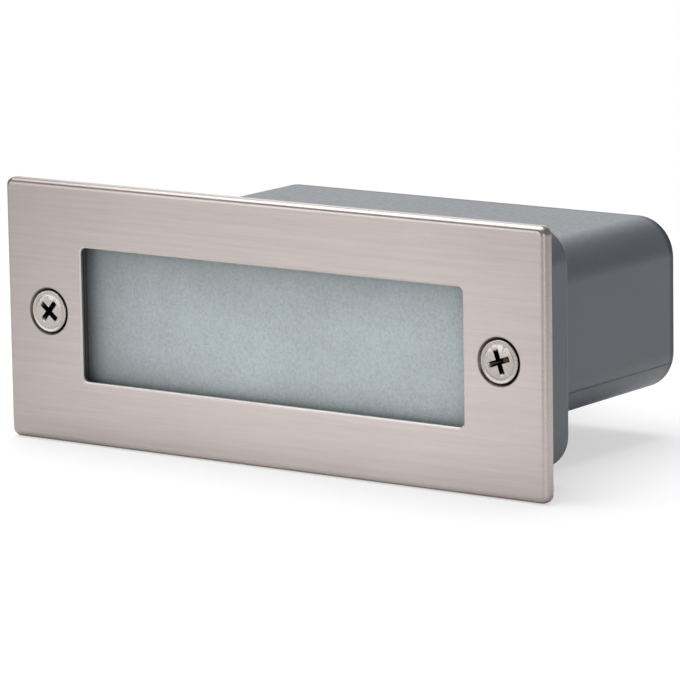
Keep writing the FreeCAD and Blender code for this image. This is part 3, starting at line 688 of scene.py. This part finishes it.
insertLook = {
    "bore": 2.05, "radius": 2.8, "front": 1.3, "back": 7.3, "knurl": 0.16, "teeth": 28, "twist": 16,
    "bands": ((0.12, 0.42), (0.56, 0.9)), "groove": 0.3, "rows": 40, "spacing": 92,
    "colour": (0.62, 0.42, 0.15), "metal": 1.0, "rough": (0.22, 0.4), "grain": 3.0, "vary": 0.1,
}
brass = finish("brass", insertLook)


# A brass sleeve with two diamond-knurled bands and a groove between them.
def knurledSleeve(name, look):
    steps, rows, waves = look["teeth"] * 6, look["rows"], look["teeth"] / 2
    length = look["back"] - look["front"]
    rings = []
    for row in range(rows + 1):
        along = row / rows
        banded = any(start < along < end for start, end in look["bands"])
        grooved = look["bands"][0][1] <= along <= look["bands"][1][0]

        def knurlRadius(turn):
            wave = (abs(math.sin(waves * turn + along * look["twist"]))
                    + abs(math.sin(waves * turn - along * look["twist"])))
            return look["radius"] - (look["knurl"] * (1 - wave / 2) if banded else look["groove"] * grooved)

        rings.append(turnedRing(knurlRadius, look["front"] + along * length, steps))
    rings += [turnedRing(lambda turn: look["bore"], y, steps) for y in (look["back"], look["front"])]
    rings.append(rings[0])
    mesh = ringMesh(name, rings, closeEnds=False)
    smoothByAngle(mesh, meshCare["roundedAngle"])
    return linkMesh(name, mesh, brass)


screwInserts = repeated("screwInserts", knurledSleeve("insert", insertLook), brass, 2, 1,
                        (insertLook["spacing"], 0))
place(screwInserts, "brass_insert", "screw_inserts")
print("casting ready")


trayLook = {
    "edge": 0.2, "edgeAngle": 20, "colour": (0.80, 0.80, 0.78), "rough": (0.25, 0.4),
    "grain": 1.0, "vary": 0.03,
}
dressed("reflector", "lampTray", "white_reflector", finish("reflectorWhite", trayLook), trayLook)

lampLook = {
    "length": 3.5, "width": 2.8, "height": 0.8, "mark": 0.5, "taper": 0.96, "edge": 0.08, "cup": 1.05,
    "cupFlare": 0.12, "cupRise": 0.1, "cupDepth": 0.25,
    "columns": 6, "rows": 2, "colour": (0.82, 0.80, 0.74), "rough": (0.4, 0.55), "grain": 8.0, "vary": 0.05,
}
lensLook = {
    "profile": ((0, -0.048), (0.5, -0.03), (0.9, 0.05), (1.05, 0.2)), "colour": (0.80, 0.62, 0.10),
    "rough": (0.15, 0.3), "grain": 12.0, "vary": 0.12, "coat": 0.6,
}
lampX, lampY, lampZ = (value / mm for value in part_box("leds")[1])
lampPitch = ((lampX - lampLook["length"] / 2) / ((lampLook["columns"] - 1) / 2),
             (lampZ - lampLook["width"] / 2) * 2)


# The lamp's case, with a cut corner as its mark and a round cup.
def lampCase(look, material):
    half, front = (look["length"] / 2, look["width"] / 2), -look["height"]
    corners = [(-half[0], -half[1]), (half[0], -half[1]), (half[0], half[1] - look["mark"]),
               (half[0] - look["mark"], half[1]), (-half[0], half[1])]
    mesh = bpy.data.meshes.new("lampCase")
    with editing(mesh) as build:
        low = [build.verts.new(Vector((x, 0.0, z)) * mm) for x, z in corners]
        top = [build.verts.new(Vector((x * look["taper"], front, z * look["taper"])) * mm) for x, z in corners]
        build.faces.new(low)
        build.faces.new(list(reversed(top)))
        for at in range(len(corners)):
            after = (at + 1) % len(corners)
            build.faces.new((low[at], top[at], top[after], low[after]))
        bmesh.ops.recalc_face_normals(build, faces=build.faces)
        bmesh.ops.bevel(build, geom=build.edges[:], offset=look["edge"] * mm, segments=2, affect="EDGES")
    cupProfile = [(look["cup"] + look["cupFlare"], front - look["cupRise"]),
                  (look["cup"], front + look["cupDepth"])]
    cup = lathe("cup", cupProfile, material, steps=32)
    return cutAway(linkMesh("lampCase", mesh, material), cup)


def lampGrid(name, source, material):
    grid = repeated(name, source, material, lampLook["columns"], lampLook["rows"], lampPitch, (0, lampY, 0))
    place(grid, "lamp_package", "leds")


ceramic, phosphor = finish("ceramic", lampLook), finish("phosphor", lensLook)
lampGrid("ledCases", lampCase(lampLook, ceramic), ceramic)
lensProfile = [(radius, rise - lampLook["height"]) for radius, rise in lensLook["profile"]]
lampGrid("ledLenses", lathe("lens", lensProfile, phosphor, steps=32), phosphor)


# Circuit board: solder mask over raised copper areas and runs of parallel tracks.
def circuitBoard(name, look):
    material, tree, shader = solidMaterial(name)
    vector = objectSpace(tree)
    cells = addNode(tree, "ShaderNodeTexVoronoi", {"Vector": vector, "Scale": look["areas"] / mm,
                                                   "Randomness": 0.85}, distance="CHEBYCHEV")
    parts = addNode(tree, "ShaderNodeSeparateColor", {"Color": cells.outputs["Color"]})
    area = remap(tree, parts.outputs[0], 0.0, 0.45, 0.60, 0.62)
    runs = {"Vector": objectSpace(tree, turn=look["turn"]), "Scale": 1 / mm, "Mortar Size": 0.14,
            "Mortar Smooth": 0.2, "Brick Width": 11.0, "Row Height": 1.35}
    tracks = addNode(tree, "ShaderNodeTexBrick", runs, offset=0.37)
    copper = calculate(tree, "MAXIMUM", area, tracks.outputs["Fac"])
    weave = noise(tree, vector, 3.0, 3.0)
    colour = blendColour(tree, copper, look["mask"], look["copper"])
    colour = multiplied(tree, colour, greyRamp(tree, weave, [(0.35, 0.85), (0.65, 1.0)]), 0.4)
    setInputs(tree, shader, {"Base Color": colour, "Roughness": remap(tree, weave, 0.28, 0.45)})
    bump(tree, shader, copper, look["relief"])
    return material


ledBoardLook = {
    "edge": 0.12, "segments": 2, "mask": (0.78, 0.78, 0.75), "copper": (0.72, 0.72, 0.69), "areas": 0.14,
    "turn": (math.pi / 2, 0, 0), "relief": 0.018,
}
dressed("led_board", "ledBoard", "white_circuit", circuitBoard("ledMask", ledBoardLook), ledBoardLook)

padLook = {
    "profile": [(0, -0.16), (0.3, -0.13), (0.52, -0.04), (0.6, 0.0)], "columns": 7, "rowSpacing": 13.6,
    "colour": (0.60, 0.60, 0.60), "metal": 1.0, "rough": (0.18, 0.3), "grain": 6.0,
}
solder = finish("solder", padLook)
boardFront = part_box("led_board")[0].y / mm
pad = lathe("pad", padLook["profile"], solder, steps=20)
ledPads = repeated("ledPads", pad, solder, padLook["columns"], 2, (lampPitch[0], padLook["rowSpacing"]),
                   (0, boardFront, 0))
place(ledPads, "white_circuit")

mountingPlateLook = {
    "edge": 0.18, "segments": 2, "colour": (0.70, 0.71, 0.72), "metal": 1.0, "rough": (0.32, 0.5),
    "grain": 3.0, "stretch": (0.05, 1, 1), "relief": 0.006,
}
dressed("mounting_plate", "mountingPlate", "bare_aluminium", finish("rolledAluminium", mountingPlateLook),
        mountingPlateLook)

zincPlate = finish("zincPlate", {"colour": (0.63, 0.65, 0.68), "metal": 1.0, "rough": (0.2, 0.36), "grain": 3.0,
                                 "relief": 0.008})
boardScrewLook = {
    "acrossFlats": 5.5, "headHeight": 2.0, "radius": 1.5, "depth": 0.26, "pitch": 0.5, "length": 8.0,
}
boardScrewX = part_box("board_screws")[1].x / mm - boardScrewLook["acrossFlats"] / math.sqrt(3)
boardScrews = repeated("boardScrews", hexScrew("boardScrew", boardScrewLook, zincPlate), zincPlate, 2, 1,
                       (2 * boardScrewX, 0), (0, boardFront, 0))
place(boardScrews, "zinc_screw", "board_screws")
print("light engine ready")


driverBoardLook = {
    "edge": 0.1, "segments": 2, "mask": (0.022, 0.13, 0.055), "copper": (0.045, 0.22, 0.09), "areas": 0.22,
    "turn": (0, 0, 0), "relief": 0.018,
}
dressed("driver_board", "driverBoard", "green_circuit", circuitBoard("driverMask", driverBoardLook),
        driverBoardLook)

jointLook = {
    "profile": [(0.9, 0.0), (0.75, -0.12), (0.42, -0.45), (0.3, -1.1), (0, -1.15)], "columns": 9, "rows": 4,
    "pitch": (7.4, 6.6),
}
low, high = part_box("driver_board")
joint = lathe("joint", jointLook["profile"], solder, axis="Z", steps=20)
solderJoints = repeated("solderJoints", joint, solder, jointLook["columns"], jointLook["rows"],
                        jointLook["pitch"], (0, (low.y + high.y) / 2 / mm, low.z / mm), "flat")
place(solderJoints, "green_circuit")

# The profile points are (radius, height), added to the can's own radius and to its foot or top.
canLook = {
    "foot": ((-0.4, 0), (0, 0.3), (0, 1.1), (-0.35, 1.45), (-0.35, 1.6), (0, 1.95)),
    "top": ((0, -0.35), (-0.35, 0), (-0.8, 0), (-0.9, -0.08)), "lid": ((-0.85, -0.2), (-0.85, -0.05)),
    "score": 0.12, "scoreLength": 1.1, "reservoirWidth": 8, "smoothingWidth": 6, "smoothingHeight": 9,
    "colour": (0.02, 0.025, 0.06), "rough": (0.2, 0.32), "grain": 2.0, "vary": 0.1, "coat": 0.3,
}
canTopLook = {"colour": (0.68, 0.69, 0.70), "metal": 1.0, "rough": (0.25, 0.4), "grain": 5.0, "relief": 0.008}
sleeve, canTop = finish("sleeve", canLook), finish("canTop", canTopLook)


# A can with a rolled crimp, a sleeve that turns over the rim and a scored top.
def canCapacitor(name, low, high, look):
    x, y = (low.x + high.x) / 2 / mm, (low.y + high.y) / 2 / mm
    radius, foot, top = (high.x - low.x) / 2 / mm, low.z / mm, high.z / mm
    outline = [(radius + out, foot + up) for out, up in look["foot"]]
    outline += [(radius + out, top + up) for out, up in look["top"]]
    lidEdge = [(radius + out, top + up) for out, up in look["lid"]]
    body = lathe(name, outline, sleeve, (x, y, 0), "Z")
    lid = lathe(name + "Top", lidEdge + [(0, lidEdge[-1][1])], canTop, (x, y, 0), "Z")
    bars = []
    score, length = look["score"], radius * look["scoreLength"]
    for wide, deep in ((length, score), (score, length)):
        bar = lathe("bar", [(0.5, top - score), (0.5, top + 0.1)], canTop, axis="Z", steps=4)
        stretched = Matrix.Diagonal((wide, deep, 1, 1)) @ Matrix.Rotation(math.pi / 4, 4, "Z")
        bar.data.transform(Matrix.Translation(Vector((x, y, 0)) * mm) @ stretched)
        bars.append(bar)
    for piece in (body, cutAway(lid, *bars)):
        place(piece, "capacitor_sleeve", "can_capacitors")


low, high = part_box("can_capacitors")
middle, width = (low.x + high.x) / 2, canLook["smoothingWidth"] * mm
canCapacitor("reservoir", low, Vector((high.x, low.y + canLook["reservoirWidth"] * mm, high.z)), canLook)
canCapacitor("smoothing", Vector((middle - width / 2, high.y - width, low.z)),
             Vector((middle + width / 2, high.y, low.z + canLook["smoothingHeight"] * mm)), canLook)

coreLook = {
    "edge": 0.25, "colour": (0.035, 0.035, 0.038), "rough": (0.5, 0.75), "grain": 6.0,
    "relief": 0.03, "vary": 0.25,
}
dressed("transformer_core", "transformerCore", "ferrite", finish("ferrite", coreLook), coreLook)
coilLook = {
    "edge": 0.35, "colour": (0.70, 0.46, 0.03), "rough": (0.18, 0.35), "grain": 1.2,
    "stretch": (0.1, 0.1, 3), "relief": 0.03, "vary": 0.12, "coat": 0.4,
}
dressed("transformer_coil", "transformerCoil", "winding_tape", finish("tape", coilLook), coilLook)
filmLook = {
    "edge": 0.8, "segments": 4, "colour": (0.34, 0.022, 0.014), "rough": (0.25, 0.4), "grain": 1.5,
    "relief": 0.012,
}
dressed("film_capacitor", "filmCapacitor", "film_case", finish("filmCase", filmLook), filmLook)
rectifierLook = {
    "edge": 0.35, "colour": (0.016, 0.016, 0.018), "rough": (0.35, 0.5), "grain": 7.0,
    "relief": 0.015, "vary": 0.2,
}
dressed("bridge_rectifier", "bridgeRectifier", "black_resin", finish("resin", rectifierLook), rectifierLook)

varistorLook = {
    "radius": 3.55, "thickness": 3.0, "crown": 0.35, "rounding": 1.0, "colour": (0.012, 0.05, 0.24),
    "rough": (0.12, 0.22), "grain": 0.8, "relief": 0.03, "coat": 0.5,
}
radius, thickness, crown = varistorLook["radius"], varistorLook["thickness"], varistorLook["crown"]
low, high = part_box("varistor")
discProfile = [(0, 0), (radius, crown), (radius, thickness - crown), (0, thickness)]
varistor = lathe("varistorDisc", roundedProfile(discProfile, varistorLook["rounding"]),
                 finish("lacquer", varistorLook),
                 ((low.x + high.x) / 2 / mm, low.y / mm, (low.z + high.z) / 2 / mm))
place(varistor, "blue_lacquer", "varistor")

fuseLook = {
    "radius": 4, "rounding": 0.8, "colour": (0.03, 0.022, 0.018), "rough": (0.4, 0.6), "grain": 5.0,
    "relief": 0.012, "vary": 0.15,
}
low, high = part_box("fuse")
radius, foot, top = fuseLook["radius"], low.z / mm, high.z / mm
fuseProfile = roundedProfile([(0, foot), (radius, foot), (radius, top), (0, top)], fuseLook["rounding"])
fuse = lathe("fuseBody", fuseProfile, finish("fuseCase", fuseLook),
             ((low.x + high.x) / 2 / mm, (low.y + high.y) / 2 / mm, 0), "Z")
place(fuse, "fuse_case", "fuse")

terminalLook = {
    "edge": 0.25, "segments": 2, "colour": (0.26, 0.28, 0.29), "rough": (0.4, 0.55), "grain": 4.0,
    "relief": 0.012,
}
dressed("terminal_block", "terminalBlock", "terminal_case", finish("terminalCase", terminalLook), terminalLook)

terminalScrewLook = {
    "radius": 1.85, "height": 2.2, "rounding": 0.3, "slot": 0.6, "slotDepth": 1.1, "slotLength": 3.0,
    "slotRise": 0.8, "pitch": 5.0,
}


# A slotted screw head round the Z axis, with its foot at z = 0.
def slottedScrew(look):
    radius, height = look["radius"], look["height"]
    profile = roundedProfile([(0, 0), (radius, 0), (radius, height), (0, height)], look["rounding"])
    head = lathe("slotted", profile, zincPlate, axis="Z", steps=48)
    slotProfile = [(1, height - look["slotDepth"]), (1, height + look["slotRise"])]
    slot = lathe("slot", slotProfile, zincPlate, axis="Z", steps=4)
    slot.data.transform(Matrix.Diagonal((look["slotLength"], look["slot"] / math.sqrt(2), 1, 1))
                        @ Matrix.Rotation(math.pi / 4, 4, "Z"))
    return cutAway(head, slot)


low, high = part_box("terminal_screws")
terminalScrews = repeated("terminalScrews", slottedScrew(terminalScrewLook), zincPlate, 3, 1,
                          (terminalScrewLook["pitch"], 0), (0, (low.y + high.y) / 2 / mm, low.z / mm), "flat")
place(terminalScrews, "zinc_screw", "terminal_screws")

leadLook = {
    "radius": 0.6, "bend": 2.0, "bendSteps": 12, "sides": 24, "colour": (0.42, 0.012, 0.01),
    "rough": (0.3, 0.45), "grain": 2.0, "stretch": (1, 0.2, 1),
}
leadSleeve = finish("leadSleeve", leadLook)


# One insulated lead: up from the board, round a bend and forward to the lamp board.
def ledLead(name, x, foot, y, end, look):
    bend = look["bend"]
    path = [Vector((x, y, foot)), Vector((x, y, foot + 0.2)), Vector((x, y, -bend))]
    for step in range(1, look["bendSteps"] + 1):
        turn = math.pi / 2 * step / look["bendSteps"]
        path.append(Vector((x, y - bend * (1 - math.cos(turn)), -bend * (1 - math.sin(turn)))))
    path.append(Vector((x, end, 0)))
    turns = [fullTurn * step / look["sides"] for step in range(look["sides"])]
    across = Vector((1, 0, 0))
    rings = []
    for at, point in enumerate(path):
        ahead = path[min(at + 1, len(path) - 1)] - path[max(at - 1, 0)]
        over = ahead.normalized().cross(across)
        rings.append([(point + look["radius"] * (across * math.cos(turn) + over * math.sin(turn))) * mm
                      for turn in turns])
    mesh = ringMesh(name, rings)
    smoothByAngle(mesh)
    place(linkMesh(name, mesh, leadSleeve), "lead_sleeve", "led_leads")


low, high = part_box("led_leads")
leadY = high.y / mm - leadLook["radius"] * math.sqrt(3) / 2
for side, x in (("left", low.x / mm + leadLook["radius"]), ("right", high.x / mm - leadLook["radius"])):
    ledLead(f"ledLead.{side}", x, low.z / mm, leadY, low.y / mm, leadLook)

earthTagLook = {
    "edge": 0.18, "segments": 2, "colour": (0.66, 0.64, 0.60), "metal": 1.0, "rough": (0.3, 0.45),
    "grain": 4.0,
}
dressed("earth_tag", "earthTag", "tinned_copper", finish("tinned", earthTagLook), earthTagLook)
earthLook = {"acrossFlats": 7.0, "headHeight": 2.8, "radius": 2.0, "depth": 0.35, "pitch": 0.7, "length": 4.8}
low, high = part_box("earth_screw")
earthScrew = hexScrew("earthScrew", earthLook, zincPlate)
earthScrew.data.transform(Matrix.Translation(Vector(((low.x + high.x) / 2, low.y + earthLook["headHeight"] * mm,
                                                     (low.z + high.z) / 2))))
place(earthScrew, "earth_steel", "earth_screw")
print("driver ready")


glandLook = {
    "acrossFlats": 15.0, "thread": 6.0, "threadDepth": 0.55, "pitch": 1.5, "threadLength": 6.0, "lap": 0.2,
    "bore": 4.0, "sealBore": 5.0, "seat": 5.2, "colour": (0.022, 0.022, 0.024), "rough": (0.42, 0.58),
    "grain": 2.5, "relief": 0.02, "vary": 0.2, "specular": 0.4,
}
nylon = finish("nylon", glandLook)
glandRubber = finish("glandRubber", {"colour": (0.016, 0.016, 0.016), "rough": (0.6, 0.8), "grain": 3.0,
                                     "relief": 0.02, "vary": 0.2})
glandCorner = glandLook["acrossFlats"] / math.sqrt(3)


# A threaded tube of the gland along Y.
def glandThread(name, start, end, bore, steps=56):
    thread = threadMesh(name, glandLook["thread"], glandLook["threadDepth"], glandLook["pitch"], start, end,
                        steps=steps)
    hole = lathe("bore", [(bore, start - 1), (bore, end + 1)], nylon, steps=steps)
    return cutAway(linkMesh(name, thread, nylon), hole)


threadFront, threadBack = (corner.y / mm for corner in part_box("gland_body"))
flangeFront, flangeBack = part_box("gland_washer")[1].y / mm, threadBack - glandLook["threadLength"]
bore, seat, lap = glandLook["bore"], glandLook["seat"], glandLook["lap"]
glandBody = hexPiece("glandBody", glandLook["acrossFlats"],
                     [(7.4, flangeFront), (glandCorner, flangeFront + 0.5), (glandCorner, flangeBack - 0.6),
                      (7.5, flangeBack)], nylon, [(bore, flangeBack), (bore, flangeFront)])
innerThread = glandThread("innerThread", threadFront, flangeFront + lap, bore)
outerThread = glandThread("outerThread", flangeBack - lap, threadBack, glandLook["sealBore"])
seatProfile = [(bore, flangeBack), (seat, flangeBack), (seat, flangeBack + 1), (bore, flangeBack + 1)]
sealSeat = lathe("sealSeat", seatProfile, nylon, closed=True)
place(joined(glandBody, innerThread, outerThread, sealSeat), "black_nylon", "gland_body")

glandWasherLook = {
    "rounding": 0.4, "profile": [(6.1, "front", 0), (8.4, "front", 0), (8.4, "back", 0), (6.1, "back", 0)],
}
glandRing = profileBetween(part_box("gland_washer"), glandWasherLook["profile"])
glandRing = roundedProfile(glandRing, glandWasherLook["rounding"], True)
glandWasher = lathe("glandWasher", glandRing, glandRubber, closed=True)
place(glandWasher, "gland_rubber", "gland_washer")

lockNutLook = {
    "outside": [(7.3, "front", 0), (glandCorner, "front", 0.8), (glandCorner, "back", -0.1),
                (glandCorner - 0.1, "back", 0)],
    "bore": [(6.3, "back", 0), (6.05, "back", -0.25), (6.05, "front", 0.4), (6.4, "front", 0)],
}
sealLook = {
    "profile": [(3.4, "front", 0.4), (4.0, "front", 0), (4.95, "front", 0), (4.95, "back", -0.8),
                (4.3, "back", 0), (3.7, "back", 0), (3.4, "back", -0.5), (3.4, "front", 2.9),
                (3.65, "front", 2.5), (3.4, "front", 2.1)],
}
capLook = {
    "outside": [(8.1, "front", 0), (glandCorner, "front", 0.6), (glandCorner, "front", 4.3),
                (7.9, "front", 4.9), (7.45, "front", 5.1), (7.25, "front", 6.3), (6.8, "front", 7.4),
                (6.2, "front", 8.3), (5.7, "front", 8.8), (5.2, "back", 0)],
    "bore": [(4.0, "back", 0), (3.6, "back", -0.4), (3.6, "back", -2.0), (6.05, "back", -2.0),
             (6.05, "front", 0.4), (6.3, "front", 0)],
}


def glandHex(node, name, look):
    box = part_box(node)
    piece = hexPiece(name, glandLook["acrossFlats"], profileBetween(box, look["outside"]), nylon,
                     profileBetween(box, look["bore"]))
    place(piece, "black_nylon", node)


glandHex("gland_lock_nut", "glandLockNut", lockNutLook)
sealProfile = profileBetween(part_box("gland_seal"), sealLook["profile"])
glandSeal = lathe("glandSeal", sealProfile, glandRubber, closed=True)
place(glandSeal, "gland_rubber", "gland_seal")
glandHex("gland_cap", "glandCap", capLook)
print("gland ready")


floorLook = {
    "height": -22.6, "centre": 20, "radius": 900.0, "fadeFrom": 120.0, "fadeTo": 330.0, "colour": 0.93,
    "glow": 0.55,
}


# A pale floor that takes the object's shadow and fades into the background.
def floorMaterial(look):
    material, tree = emptyMaterial("floorPale")
    grain = noise(tree, objectSpace(tree), 0.02, 3.0)
    pale = greyRamp(tree, grain, [(0.3, look["colour"] * 0.985), (0.7, look["colour"])])
    below = addNode(tree, "ShaderNodeBsdfDiffuse", {"Color": pale})
    glow = addNode(tree, "ShaderNodeEmission", {"Strength": 1.0})
    clear = addNode(tree, "ShaderNodeBsdfTransparent")
    seen = addNode(tree, "ShaderNodeLightPath").outputs["Is Camera Ray"]
    length = addNode(tree, "ShaderNodeVectorMath", {0: objectSpace(tree, (1, 1, 0))}, operation="LENGTH")
    fade = remap(tree, length.outputs["Value"], 0.0, 1.0, look["fadeFrom"] * mm, look["fadeTo"] * mm)
    for amount, above in ((look["glow"], glow), (fade, clear)):
        below = addNode(tree, "ShaderNodeMixShader", {0: calculate(tree, "MULTIPLY", amount, seen),
                                                      1: below.outputs[0], 2: above.outputs[0]})
    addNode(tree, "ShaderNodeOutputMaterial", {"Surface": below.outputs[0]})
    return material


floorMesh = bpy.data.meshes.new("floor")
with editing(floorMesh) as build:
    bmesh.ops.create_circle(build, cap_ends=True, segments=96, radius=floorLook["radius"] * mm,
                            matrix=Matrix.Translation((0, floorLook["centre"] * mm, floorLook["height"] * mm)))
linkMesh("floor", floorMesh, floorMaterial(floorLook))

worldLook = {"light": 0.31, "background": 1.0}
world = bpy.data.worlds.new("studio")
scene.world = world
world.use_nodes = True
worldTree = world.node_tree
worldTree.nodes.clear()
seenRay = addNode(worldTree, "ShaderNodeLightPath").outputs["Is Camera Ray"]
shades = [addNode(worldTree, "ShaderNodeBackground", {"Color": (1, 1, 1, 1), "Strength": worldLook[key]})
          for key in ("light", "background")]
worldMix = addNode(worldTree, "ShaderNodeMixShader",
                   {0: seenRay, 1: shades[0].outputs[0], 2: shades[1].outputs[0]})
addNode(worldTree, "ShaderNodeOutputWorld", {"Surface": worldMix.outputs[0]})

lampLooks = {
    "topBox": {"size": (800, 700), "at": (-170, 60, 700), "energy": 6.6},
    "frontBox": {"size": (900, 420), "at": (-430, -720, 190), "energy": 2.3},
    "backBox": {"size": (900, 420), "at": (-520, 780, 330), "energy": 1.5},
    "glintBox": {"size": (300, 180), "at": (620, -440, 80), "energy": 0.6},
}
lampAim = Vector((0, 20, 0))


def areaLight(name, look):
    lamp = bpy.data.lights.new(name, "AREA")
    lamp.shape = "RECTANGLE"
    lamp.size, lamp.size_y = look["size"][0] * mm, look["size"][1] * mm
    lamp.energy = look["energy"]
    obj = bpy.data.objects.new(name, lamp)
    scene.collection.objects.link(obj)
    obj.location = Vector(look["at"]) * mm
    obj.rotation_mode = "QUATERNION"
    obj.rotation_quaternion = (lampAim * mm - obj.location).to_track_quat("-Z", "Y")


for lampName, lampValues in lampLooks.items():
    areaLight(lampName, lampValues)

# Angles in degrees, target and distance in mm, and the focal length in pixels of a frame 680 pixels wide.
cameraLook = {
    "azimuth": 35.55, "elevation": 10.39, "roll": -0.93, "focal": 5058, "frame": 680, "sensor": 36,
    "target": (14.86, -2.0, 0.70), "distance": 826.9, "clip": (0.01, 20),
}
azimuth, elevation, roll = (math.radians(cameraLook[key]) for key in ("azimuth", "elevation", "roll"))
back = Vector((math.sin(azimuth) * math.cos(elevation), -math.cos(azimuth) * math.cos(elevation),
               math.sin(elevation)))
right = Vector((math.cos(azimuth), math.sin(azimuth), 0))
up = back.cross(right)
imageRight = right * math.cos(roll) + up * math.sin(roll)
imageUp = up * math.cos(roll) - right * math.sin(roll)
camera = bpy.data.objects.new("camera", bpy.data.cameras.new("camera"))
scene.collection.objects.link(camera)
camera.rotation_mode = "QUATERNION"
camera.rotation_quaternion = Matrix((imageRight, imageUp, back)).transposed().to_quaternion()
camera.location = Vector(cameraLook["target"]) * mm + back * cameraLook["distance"] * mm
camera.data.sensor_width = cameraLook["sensor"]
camera.data.lens = cameraLook["focal"] / cameraLook["frame"] * cameraLook["sensor"]
camera.data.clip_start, camera.data.clip_end = cameraLook["clip"]
scene.camera = camera
scene.view_settings.view_transform = "Standard"
print("stage ready")
